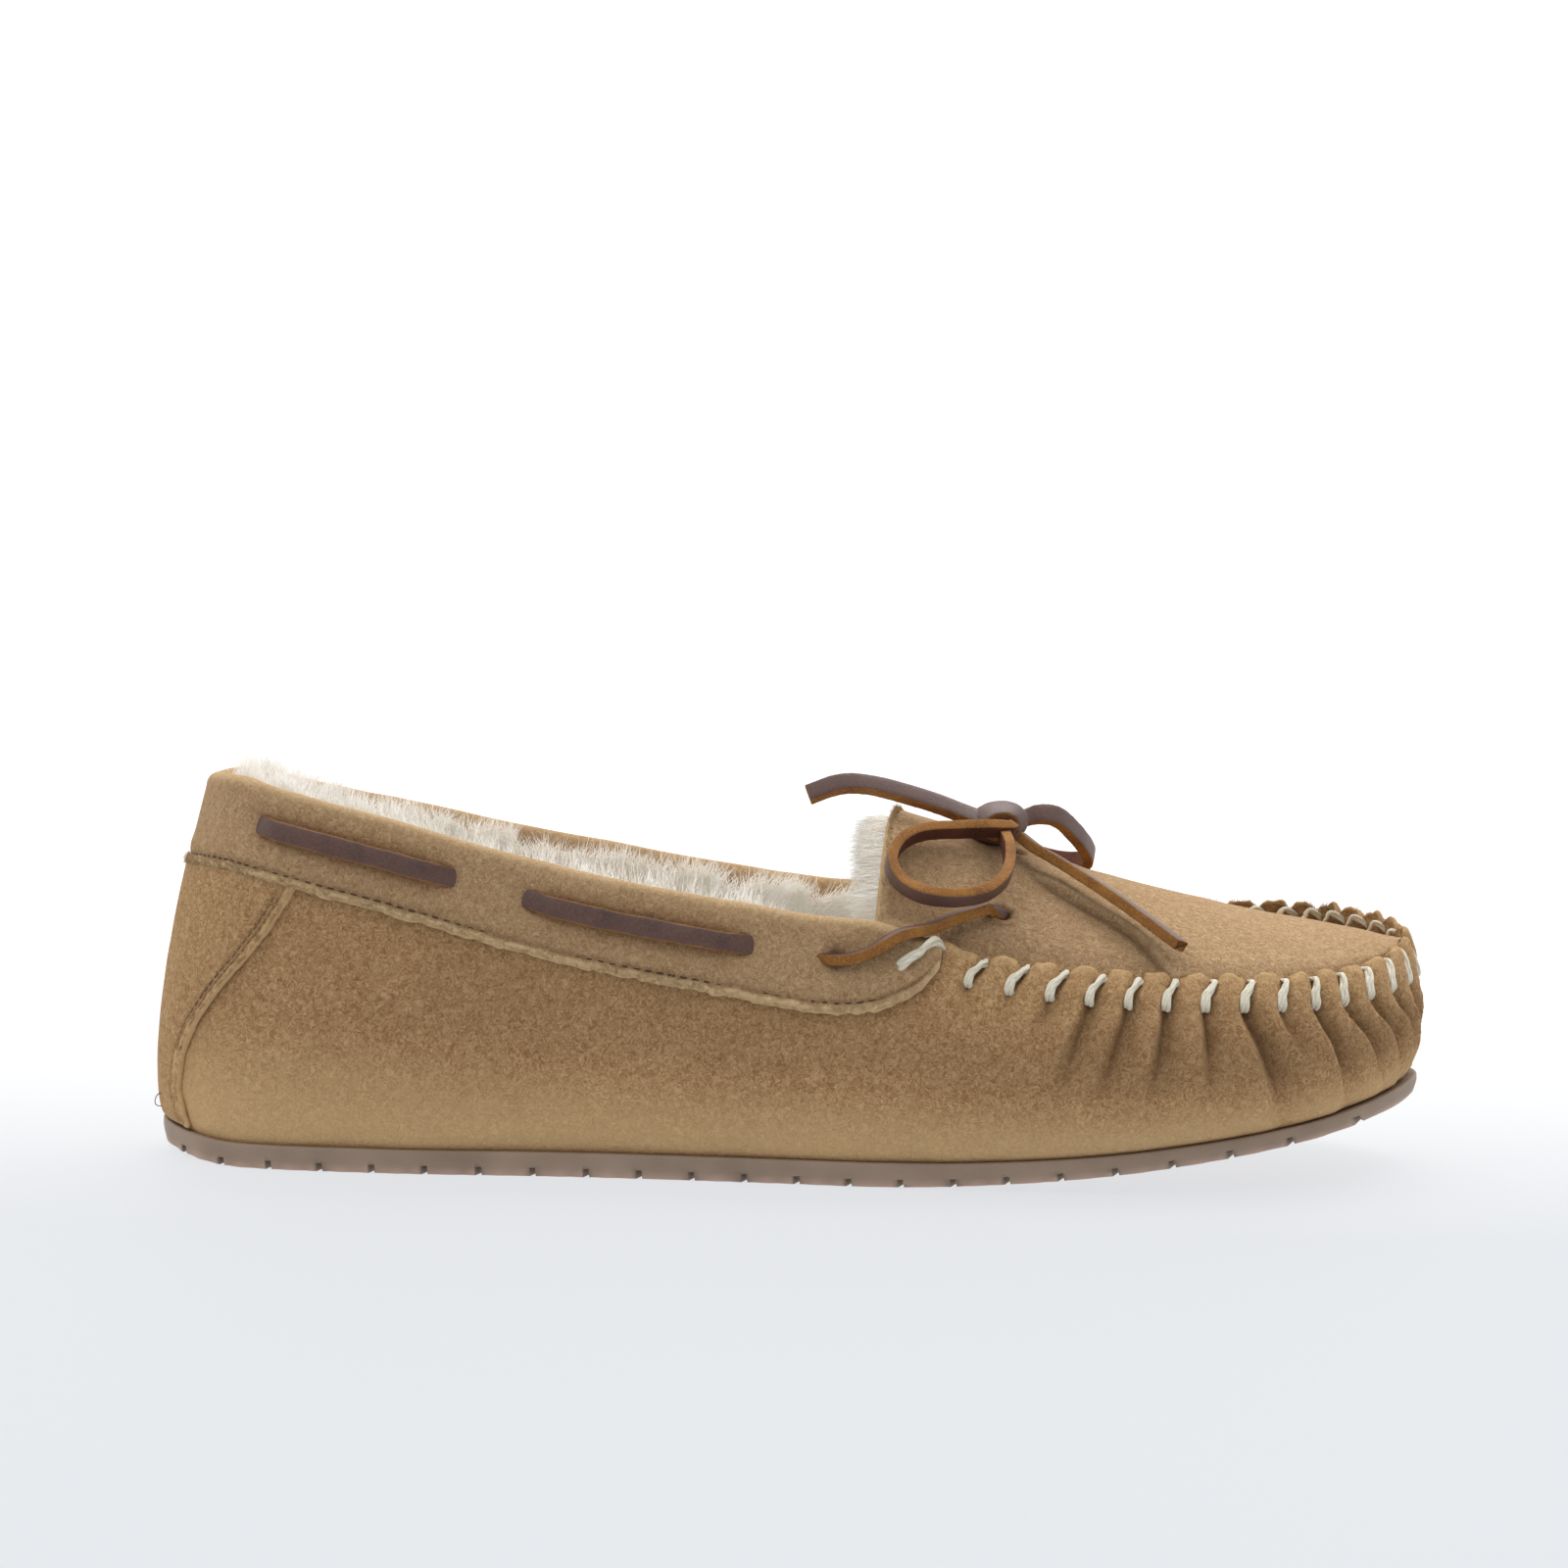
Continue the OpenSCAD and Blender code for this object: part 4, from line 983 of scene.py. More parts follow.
def over_plug(side):
    """The lace from the collar over the rim to the eyelet, and under the plug to the knot."""
    k = -side
    up, under = (0, 0.25 * k, 1), 3.25

    def at(u, v, deep, face, half):
        return [*plug_pt(u, k * v, deep), *face, half]
    return [at(-0.01, 0.92, -2.4, up, HALF), at(0.03, 0.87, -2.3, up, HALF),
            at(0.06, 0.8, -2, (0.4, 0.3 * k, 0.9), SQUEEZED),
            at(EYELET[0], EYELET[1], 0.7, (0.95, 0.1 * k, -0.1), SQUEEZED),
            at(EYELET[0], 0.67, under, (0.2, -0.7 * k, -0.75), SQUEEZED),
            at(0.1, 0.48, under, (0, -0.4 * k, -0.9), HALF * 0.8),
            at(0.105, 0.27, under, (0, -0.3 * k, -0.95), SQUEEZED),
            at(CREST_HOLE[0], CREST_HOLE[1], PLUG_T / 2, (0, -k, 0), SQUEEZED * 0.8)]


def taut(rows, step=0.4, rounds=140):
    """The same line at even steps, pulled straight where it crosses the rim between slot and eyelet."""
    at = line_length(rows[:, :3])
    even = np.linspace(0, at[-1], int(at[-1] / step))
    line = np.stack([np.interp(even, at, rows[:, c]) for c in range(rows.shape[1])], 1)
    free, level = np.zeros(len(line)), np.zeros(len(line))
    for side in (-1, 1):
        slot = wall(4.27 * side, share_down(4.27 * side, LACE_DROP), 0)
        eyelet = plug_pt(EYELET[0] - 0.02, -side * EYELET[1], -1.8)
        a, b = sorted(int(np.argmin(np.linalg.norm(line[:, :3] - q, axis=1))) for q in (slot, eyelet))
        k = np.arange(len(line))
        free = np.maximum(free, ease(k, a, a + 8) * (1 - ease(k, b - 10, b)))
        first, last = (a - 12, b + 4) if side > 0 else (a - 4, b + 12)
        level = np.maximum(level, ease(k, first, first + 8) * (1 - ease(k, last - 8, last)))
    for _ in range(rounds):
        middle = (line[:-2] + line[2:]) / 2
        line[1:-1] += 0.5 * free[1:-1, None] * (middle - line[1:-1])
    line[:, 3:6] = unit(line[:, 3:6]) * (1 - level[:, None]) + np.array([-0.15, 0.0, 1.0]) * level[:, None]
    return line


def make_lace_run():
    """The lace's long middle: both ends come over the rim, and it runs in and out round the collar."""
    parts = []
    for side in (-1, 1):
        rows = []
        for s, drop in ((4.45, 6.6), (4.51, 4.8)):
            t = share_down(side * s, drop)
            rows.append([*wall(side * s, t, LACE_OUT - 0.1), *wall_n(side * s, t), HALF])
        rows += [roll_row(side * s, a, 2 * GAP + LACE_T / 2)
                 for s, a in ((4.58, 25), (4.66, 65), (4.74, 100))]
        parts.append(catmull(rows + over_plug(side), 9))
    s = np.linspace(-4.38, 4.38, 700)
    d = np.interp(np.abs(s), DIVES[:, 0], DIVES[:, 1])
    d = np.convolve(np.pad(d, 6, mode="edge"), np.ones(13) / 13, "valid")
    t = share_down(s, LACE_DROP)
    middle = np.column_stack([wall(s, t, d), wall_n(s, t), np.full(len(s), HALF)])
    line = taut(np.concatenate([parts[0][::-1], middle, parts[1]]))
    lace_strip("lace_run_leather", line, SLIPPER, ["lace_run"], 61)


def make_cord(node, rows, seed):
    """A free end or loop of the lace, from given rows of point, face and half width."""
    line = catmull(rows, 12)
    ob = lace_strip(node + "_leather", line, node, [node], seed)


OUTER_LOOP = [[43.8, -8.7, 69.8], [42.6, -11.4, 69.7], [38.6, -12.4, 69.8], [32.4, -13.4, 69.6],
              [26, -15.4, 69.3], [21.6, -18.6, 67.8], [19.4, -22.2, 65.2], [19.4, -26, 62.6],
              [21.6, -29.6, 60], [25.8, -33.2, 58.4], [31.8, -35.2, 58], [37.6, -34.2, 58.9],
              [41.2, -30, 60.8], [42.8, -24, 63.1], [43.1, -17.9, 65.8], [42.5, -13.6, 67.7],
              [42, -8.8, 68.9]]
INNER_LOOP = [[44.6, -3.2, 70.6], [46.8, -0.7, 70.9], [50, 1, 71.5], [53.6, 4.2, 70.6], [56.8, 8.6, 67.6],
              [59.4, 13.4, 64.3], [60.8, 18.2, 61.4], [60, 22.8, 59.6], [56.2, 26.4, 59],
              [50.8, 27.4, 59.9], [46.4, 24.6, 62.2], [44, 19.2, 65.3], [43.4, 13.4, 67.7],
              [43.6, 7.2, 69.4], [43.7, 2.6, 70.2], [43, -3, 70.4]]
REAR_TAIL = [[40.6, -5.6, 70.2], [36.4, -5.4, 71.2], [33, -5.2, 72.4], [28.6, -5, 74], [21.6, -4.6, 76],
             [14.4, -4.2, 77.6], [8.6, -4, 77.6], [2.2, -4.4, 75.4]]
FRONT_TAIL = [[45.9, -8.5, 67.6], [48.8, -11, 65.6], [53.6, -14.2, 63.2], [59.4, -18.8, 60.1],
              [65.6, -24.2, 56.6], [71.8, -30, 52.7], [77.4, -35, 49]]


def loop_rows(points, up):
    """Rows of a loop that stands on its cut edge: its width runs along up."""
    p = np.array(points, float)
    face = np.cross(tangents(p), unit(np.array(up)))
    half = np.full(len(p), HALF)
    half[[0, -1]], half[[1, -2]] = 0.6 * HALF, 0.85 * HALF
    return np.column_stack([p, face, half])


def tail_rows(points, first_face, last_face):
    """Rows of a tail that turns from one face to another."""
    p = np.array(points, float)
    k = np.linspace(0, 1, len(p))[:, None]
    face = np.array(first_face) * (1 - k) + np.array(last_face) * k
    half = np.full(len(p), HALF)
    half[0] = 0.7 * HALF
    return np.column_stack([p, face, half])


def make_bow():
    make_cord("bow_loop_outer", loop_rows(OUTER_LOOP, (0.1, -0.75, 0.65)), 71)
    make_cord("bow_loop_inner", loop_rows(INNER_LOOP, (0.15, 0.6, 0.79)), 73)
    make_cord("bow_tail_rear", tail_rows(REAR_TAIL, (0.25, -0.55, 0.8), (0.05, -0.8, 0.6)), 75)
    make_cord("bow_tail_front", tail_rows(FRONT_TAIL, (0.35, 0.15, 0.9), (0.35, 0.05, 0.9)), 77)


def make_knot():
    """The knot: a turn of the lace round the others, with its packed strands inside."""
    axis = unit(np.array([0.05, -0.99, -0.04]))
    right = -unit(np.cross(np.array([0, 0, 1.0]), axis))
    up = -unit(np.cross(axis, right))
    tilt = math.radians(-12)
    ex, ey = right * math.cos(tilt) + up * math.sin(tilt), up * math.cos(tilt) - right * math.sin(tilt)

    def oval(angle, wide, high):
        return np.cos(angle)[..., None] * ex * wide + np.sin(angle)[..., None] * ey * high

    a = np.linspace(0, 2 * np.pi, 96, endpoint=False)
    ring = KNOT + oval(a, 4.25, 2.75) + axis * (0.5 * np.cos(a + 0.6))[:, None]
    face = oval(a, 2.75, 4.25) + axis * 1.5
    around_it, along_it = 48, 25
    u = np.linspace(0, 2 * np.pi, around_it, endpoint=False)[:, None]
    v = np.linspace(0.06, np.pi - 0.06, along_it)
    core = KNOT + oval(u + 0 * v, 4.2, 2.7) * np.sin(v)[:, None] + np.cos(v)[:, None] * axis * 3.2
    core = core + 0.3 * noise(core, 1.6, 81)[..., None] * axis
    first, last = np.arange(around_it) * along_it, along_it - 1
    fans = [[0, b, a] for a, b in zip(first[1:-1], first[2:])]
    fans += [[last, a + last, b + last] for a, b in zip(first[1:-1], first[2:])]
    lace_strip("bow_knot_leather", np.column_stack([ring, face, 2.75 + 0.3 * np.cos(a - 0.3)]), SLIPPER,
               ["bow_knot"], 79, closed=True,
               core=(core.reshape(-1, 3), [grid_quads(around_it, along_it, wrap_u=True), np.array(fans)]))


# ---- stitches -----------------------------------------------------------------------------------
def tube_grid(p, guide, radius, sides, wide=1.0, flat=1.0):
    """Rings round a line: wide across the surface it lies on, flat away from it."""
    t = tangents(p)
    b = unit(np.cross(t, guide))
    n = np.cross(b, t)
    a = np.linspace(0, 2 * np.pi, sides, endpoint=False)
    radius = np.broadcast_to(radius, len(p))[:, None, None]
    return p[:, None] + radius * (b[:, None] * (wide * np.cos(a))[None, :, None]
                                  + n[:, None] * (flat * np.sin(a))[None, :, None]), b, n


def make_thread(name, tubes, mats, replaces, first=None):
    """Closed tubes in one piece. Those from number first on have the second material."""
    verts, faces, along, turn, index, count = [], [], [], [], [], 0
    for i, (grid, at) in enumerate(tubes):
        nu, nv = grid.shape[:2]
        verts.append(grid.reshape(-1, 3))
        own = [f + count for f in tube_faces(nu, nv)]
        faces += own
        index += [int(first is not None and i >= first)] * sum(len(f) for f in own)
        along.append(np.repeat(at, nv))
        turn.append(np.tile(np.arange(nv) / nv, nu))
        count += nu * nv
    make_piece(name, np.concatenate(verts), faces, mats, replaces=[replaces], index=index,
               attrs={"along": np.concatenate(along), "turn": np.concatenate(turn)})


def line_length(p):
    """Length along a line at each of its points."""
    return np.concatenate([[0], np.cumsum(np.linalg.norm(np.diff(p, axis=0), axis=1))])


def two_ply(p, guide, spacing, ply, pitch, phase, squash=0.82):
    """Two plies wound round a line."""
    _, b, n = tube_grid(p, guide, 1, 3)
    at = line_length(p)
    taper = np.minimum(1, 0.35 + np.minimum(at, at[-1] - at) / 0.7)
    out = []
    for half_turn in (0, math.pi):
        a = 2 * np.pi * at / pitch + phase + half_turn
        c = p + b * (spacing * np.cos(a))[:, None] + n * (squash * spacing * np.sin(a))[:, None]
        out.append((tube_grid(c, guide, ply * taper, 10, 1.08, 0.95)[0], at))
    return out


def near_plug(s, off, up):
    """Point of the plug near its stitched edge: off millimetres in from it, up above it."""
    inner_side = s > TIP
    u = ((FULL - s if inner_side else s) - PLUG_S0) / (PLUG_S1 - PLUG_S0)
    p, q = plug_edge(u, False), plug_edge(u, True)
    m, w = (p + q) / 2, np.linalg.norm(q - p) / 2
    v = 1 - min(0.9, off / w)
    rise = (crest_z(m[0]) - m[2]) * (1 - v**CREST_POWER) + up
    return (q if inner_side else p) - outward(s) * off + np.array([0, 0, rise])


# A whipstitch starts outside, through the gathered rim: (stations past the stitch, drop, share of the rim's
# lift, depth, how much its face turns up). It closes beside the rim, or goes over it beyond the toe: rows on
# the wall (stations, drop, depth, face outwards, face upwards), then rows on the plug (stations, way in,
# height, face inwards).
WHIP_START = [(-LEAN, 7.0, 0, 1.7, 0), (-LEAN, 6.3, 0, 0.5, 0), (-LEAN, 5.4, 0, -0.3, 0),
              (0.012 - LEAN, 3.8, 0.4, -0.45, 0), (-LEAN / 2, 2.8, 0.9, -0.4, 0.4), (-0.01, 1.8, 1, 0, 1)]
WHIP_CLOSE = ([(0.01, 1.7, 1, 0.2, 1)], [(0.015, 0.6, -1.5, 0), (0.02, 1.3, -2.4, 0.3), (0.02, 1.9, -4, 0.8)])
WHIP_OVER = ([(0.015, 1.2, 1.2, 0.2, 1), (0.05, 2.4, 2.3, -1, 0.6)],
             [(0.08, 1, 0.5, 0.8), (0.11, 1.9, -1.2, 0.8)])


def make_whipstitches():
    tubes = []
    for i, s in enumerate(WHIP_S):
        n, up = outward(s), np.array([0, 0, 1.0])
        lift, back = float(rim_lift(s)) + 2.0, float(far_side(s))
        start = np.array([[*at_drop(s + on, drop - share * lift, deep), *(n + high * up)]
                          for on, drop, share, deep, high in WHIP_START])
        start[2:, :2] -= n[:2] * (np.array([0.1, 0.25, 0.45, 0.5]) * back)[:, None]
        ways = []
        for wall_rows, plug_rows in (WHIP_CLOSE, WHIP_OVER):
            rows = [[*at_drop(s + on, drop - lift, deep), *(out * n + high * up)]
                    for on, drop, deep, out, high in wall_rows]
            rows += [[*near_plug(s + on, off, rise), *(up - out * n)] for on, off, rise, out in plug_rows]
            ways.append(np.array(rows))
        line = catmull([*start, *(ways[0] * (1 - back) + ways[1] * back)], 6)
        thin = 1 - 0.28 * back
        tubes += two_ply(line[:, :3], unit(line[:, 3:]), 0.46 * thin, 0.54 * thin, 34,
                         0.25 + 0.35 * math.sin(5.1 * i))
    for side in (-1, 1):
        rows = [[*at_drop(side * s, drop, d), *outward(side * s, 0.1), 0]
                for s, drop, d in ((4.6, 7.4, 0.3), (4.615, 6.6, -1.5), (4.66, 4.4, -2.15))]
        rows += [roll_row(side * s, a, out) for s, a, out in
                 ((4.705, 0, 0.8), (4.74, 32, 0.85), (4.775, 62, 0.8), (4.8, 92, -0.2), (4.81, 110, -1.2))]
        line = catmull(rows, 8)
        tubes += two_ply(line[:, :3], unit(line[:, 3:6]), 0.56, 0.64, 40, 0.2)
    make_thread("whipstitch_cotton", tubes, [THREAD_CREAM], "whipstitch_thread")


def dash(p, q, n, radius=0.2, sink=0.3):
    """One short machine stitch between two points, with both ends going down into the leather."""
    k = np.linspace(0, 1, 9)
    c = p + (q - p) * k[:, None] - n * (sink * np.abs(2 * k - 1) ** 4)[:, None]
    taper = 0.55 + 0.45 * np.sqrt(np.clip(1 - np.abs(2 * k - 1) ** 3, 0, 1))
    return tube_grid(c, np.broadcast_to(n, c.shape), radius * taper, 8, 1.1, 0.9)[0], k * 2.1


def make_collar_thread():
    pitch, long, tubes = 2.4, 1.7, []
    for side in (-1, 1):
        s = 0.02
        while s < 4.5:
            a = side * s
            e = 0.5 * long / float(speed(a))
            n = wall_n(a, share_down(a, float(curl(s)) - TOPSTITCH))
            ends = (at_drop(a + h, curl(s + side * h) - TOPSTITCH, OVER_D + 0.3) for h in (-e, e))
            tubes.append(dash(*ends, n, 0.18))
            s += pitch / float(speed(s))
    make_thread("collar_topstitch", tubes, [THREAD_DARK], "collar_thread")


def make_patch_thread():
    """Two rows of stitches along the patch's edges, and the loose end of a red thread at its foot."""
    tubes, count = [], 30
    for i in range(count):
        for side in (-1, 1):
            for off in PATCH_STITCH:
                ends = []
                for h in (-0.36 / count, 0.36 / count):
                    j = 0.06 + 0.88 * i / (count - 1) + h * 0.93
                    half = patch_at(j)
                    u = side * (1 - off / float(speed(half)) / half)
                    point, s = patch_point(u, j, OVER_D + 0.18)
                    ends.append(point)
                tubes.append(dash(*ends, wall_n(s, 0.3), 0.2))
    a = np.linspace(0, 1, 60)
    loose = wall(0.22, 0.035, -1.3) + np.stack(
        [-2.0 * np.sin(np.pi * a) - 0.3 * np.sin(7 * a), 1.2 * np.sin(2 * np.pi * a) - 0.6 * a,
         2.6 * a - 0.7 * np.sin(2 * np.pi * a)], 1)
    red = tube_grid(loose, np.array([0.3, 0.9, 0.2]), 0.11, 6)[0]
    make_thread("heel_patch_topstitch", tubes + [(red, line_length(loose))], [THREAD_TAN, THREAD_RED],
                "heel_patch_thread", first=len(tubes))


# ---- outsole ------------------------------------------------------------------------------------
def make_outsole():
    """Rubber slab with a rounded edge, scalloped between the grooves that are cut across its underside."""
    rows, across = 200, 17
    s = TIP / 2 * (1 - np.cos(np.pi * (np.arange(rows) + 0.9) / (rows + 0.8)))
    lip = [(0.25, 1), (0.62, 0.97), (0.78, 0.88), (0.8, 0.6), (0.74, 0.36), (0.66, 0.2), (0.5, 0.07),
           (0.15, 0)]

    def edge(s, out, high):
        """Rows of point and painted floor light along the edge, out from the plan at a share of the slab's
        height: more of it low down, with painted shade in the notches.
        """
        p, n = around(PLAN, s), out_of(s)
        x, y = (p + n * out).T
        scallop = 0.5 - 0.5 * np.cos(2 * np.pi * (x + 0.28 * np.abs(y)) / 5.5)
        p = p + n * (out - 0.55 * scallop * max(0, 0.5 - high) / 0.5)[:, None]
        z = ground(p[:, 0]) + (feather(p[:, 0]) - 0.1 - ground(p[:, 0])) * high
        return np.column_stack([p, z, max(0, 1 - high / 0.4) * (0.4 + 0.6 * (1 - scallop))])

    right, left = ([edge(way, o, h) for o, h in lip] for way in (s, FULL - s))
    share = np.linspace(0, 1, across)[1:-1]
    top = [left[0] + (right[0] - left[0]) * k for k in share]
    bottom = [right[-1] + (left[-1] - right[-1]) * k for k in share]
    # no painted floor light on the top face, all of it on the underside
    for p in top:
        p[:, 2], p[:, 3] = feather(p[:, 0]) - 0.1, 0
    for p in bottom:
        p[:, 2], p[:, 3] = ground(p[:, 0]), 1
    loops = np.stack(right + bottom + left[::-1] + top, 1)
    ob = make_piece("outsole_rubber", loops[..., :3], tube_faces(*loops.shape[:2]), [RUBBER],
                    replaces=["outsole"], attrs={"low": np.clip(loops[..., 3], 0, 1)})
    cutter = groove_cutter()
    mod = ob.modifiers.new("grooves", "BOOLEAN")
    mod.object, mod.operation, mod.solver = cutter, "DIFFERENCE", "EXACT"
    bpy.context.view_layer.update()
    done = bpy.data.meshes.new_from_object(ob.evaluated_get(bpy.context.evaluated_depsgraph_get()))
    ob.modifiers.clear()
    ob.data = done
    bpy.data.objects.remove(cutter, do_unlink=True)


GROOVE_W, GROOVE_D, GROOVE_LENGTH, GROOVE_PITCH = 1.2, 1.8, 58, 11
GROOVE_SWEEP = math.radians(16)


def groove_cutter():
    """Slanting bars under the sole, to be cut out of it."""
    verts, faces = [], []
    for x in np.arange(-120, 124.1, GROOVE_PITCH):
        for side in (-1, 1):
            slope = math.atan(float(ground(x + 1) - ground(x - 1)) / 2)
            turn = (Matrix.Translation((x, 0, float(ground(x)))) @ Matrix.Rotation(-slope, 4, "Y")
                    @ Matrix.Rotation(side * GROOVE_SWEEP, 4, "Z"))
            y0 = 0.8 if side > 0 else -GROOVE_LENGTH - 0.8
            start = len(verts)
            for z in (-GROOVE_D, GROOVE_D):
                for dx, dy in ((-1, 0), (1, 0), (1, 1), (-1, 1)):
                    corner = Vector((dx * GROOVE_W / 2, y0 + dy * GROOVE_LENGTH, z))
                    verts.append(tuple((turn @ corner) * MM))
            faces += [tuple(start + k for k in f) for f in
                      ((3, 2, 1, 0), (4, 5, 6, 7), (0, 1, 5, 4), (1, 2, 6, 5), (2, 3, 7, 6), (3, 0, 4, 7))]
    me = bpy.data.meshes.new("grooves")
    me.from_pydata(verts, [], faces)
    ob = bpy.data.objects.new("grooves", me)
    bpy.context.scene.collection.objects.link(ob)
    return ob


# ---- inner pieces -------------------------------------------------------------------------------
# Heights over the feather line, depths from the wall's face, and strands in a full piece of fur.
LINING_FOOT = 2.1
INSIDE_D = 7.1
BOARD_Z = (0.15, 1.95)
FOAM_Z = (2.1, 7.1)
PILE_Z = 7.25
LINING_END, QUARTER_D, FORE_D = 4.62, 2.8, 1.9
MANY = 8900


def at_up(s, h, d):
    """Point of the wall a height above the feather line."""
    return wall(s, np.maximum(0, h / wall_height(s)), d)


def bed_point(s, k, h, d):
    """Point of a level layer: k runs from the inner side (-1) to the outer side (1) at station s."""
    p, q = at_up(FULL - s, h, d), at_up(s, h, d)
    m = p + (q - p) * ((k + 1) / 2)[..., None]
    m[..., 2] = feather(m[..., 0]) + h
    return m


def bed_layer(name, heights, d, mat, replaces, dome=0.0, rounding=0.5):
    """A level layer between two heights over the feather line, with rounded edges."""
    rows = 90
    s = (TIP / 2 * (1 - np.cos(np.pi * (np.arange(rows) + 3.2) / (rows + 5.4))))[:, None]
    k = np.sin(np.linspace(-1, 1, 41) * np.pi / 2)[None, :]
    lower, upper = (bed_point(s, k + 0 * s, h, d) for h in heights)
    lower[..., 2] += rounding * np.abs(k) ** 8
    upper[..., 2] += dome * (1 - k * k) - rounding * np.abs(k) ** 8
    upper[..., 2] += 0.25 * cloud(upper, 18, 91, 2)
    loops = np.concatenate([upper, lower[:, ::-1]], 1)
    return make_piece(name, loops, tube_faces(*loops.shape[:2]), [mat], replaces=replaces)


def make_counter():
    t = np.linspace(0.08, 0.68, 40)[None, :]
    s = np.linspace(-2.1, 2.1, 120)[:, None]
    panel("heel_counter_fibre", wall(s, t, 1.55), wall(s, t, 2.65), np.zeros((120, 40)), COUNTER,
          ["heel_counter"])


# ---- fur ----------------------------------------------------------------------------------------
def tufted(name, roots, away, up, length, radius, seed, spread_out=0.45, clump=2.6, rings=4):
    """Fur on a backing: hairs stand away from it, lean up, swirl slowly and gather into pointed tufts."""
    rng = np.random.default_rng(seed)
    n = len(roots)
    swirl = np.stack([noise(roots, 7, seed + k) + 0.5 * noise(roots, 2.8, seed + 20 + k)
                      for k in range(3)], -1)
    swirl[:, 2] *= 0.4
    first = unit(away + up + spread_out * swirl + 0.16 * rng.normal(size=(n, 3)))
    inward = unit(away)
    first = unit(first + inward * np.maximum(0, 0.22 - np.sum(first * inward, axis=1))[:, None])
    length = length * rng.uniform(0.78, 1.12, n)
    tip = roots + first * length[:, None]
    count = max(4, int(n * 0.035))
    centres = rng.choice(n, count, replace=False)
    tree = KDTree(count)
    for i, c in enumerate(centres):
        tree.insert(tip[c].tolist(), i)
    tree.balance()
    nearest = np.array([tree.find(p)[1] for p in tip.tolist()])
    goal = tip[centres[nearest]] + unit(first[centres[nearest]]) * 0.8
    pull = (goal - tip) / length[:, None]
    reach = np.linalg.norm(goal - tip, axis=1)
    amount = rng.uniform(0.25, 0.65, n) * bell(reach, clump) ** 0.35
    bends = pull * amount[:, None] + 0.12 * rng.normal(size=(n, 3))
    verts, quads, tris = strands(roots, first, bends, length, radius * rng.uniform(0.8, 1.2, n), rings, seed)
    level = np.tile(np.append(np.repeat(np.arange(rings) / rings, 3), 1.0), n)
    return make_piece(name, verts, [quads, tris], [FUR], attrs={"level": level})


def heel_share(s):
    """1 round the heel, where the fur stands over the edge, and 0 along the sides."""
    return 1 - ease(from_heel(s), 1.0, 2.3)


def lining_depth(drop):
    """Depth of the lining cloth: closer to the middle near the top, behind the collar."""
    return QUARTER_D + 1.3 * (1 - ease(drop, 8, 13))


def lining_roots(rng, count, s0, s1, power, reach):
    """Points of the quarter lining between two stations, more of them near its top."""
    s = rng.uniform(s0, s1, count)
    top = 5.6 - 0.2 * heel_share(s)
    low = wall_height(s) - PILE_Z - 4
    drop = top + (np.minimum(reach, low) - top) * rng.uniform(0, 1, count) ** power
    return at_drop(s, drop, lining_depth(drop) + 0.9), s, drop


def quarter_fur(name, count, s0, s1, seed, power=1.7, reach=60.0):
    """Fur of the quarters between two stations, taller and more upright near the top."""
    rng = np.random.default_rng(seed)
    roots, s, drop = lining_roots(rng, count, s0, s1, power, reach)
    heel = heel_share(s)
    rising = np.exp(-np.maximum(drop - 9, 0) / 9)
    near = (s > 0) * (1 - heel) * rising * (1 - ease(s, 3.7, 4.2))
    up = ((0.5 + 0.55 * heel) * rising + 0.1 + 0.8 * near)[:, None] * np.array([0, 0, 1.0])
    return tufted(name, roots, -outward(s) * (0.62 - 0.12 * heel * rising)[:, None], up,
                  (7.4 + 1.8 * heel + 2.0 * near) * (1 - 0.45 * ease(s, 3.8, 4.3)), 0.13, seed,
                  spread_out=0.6)


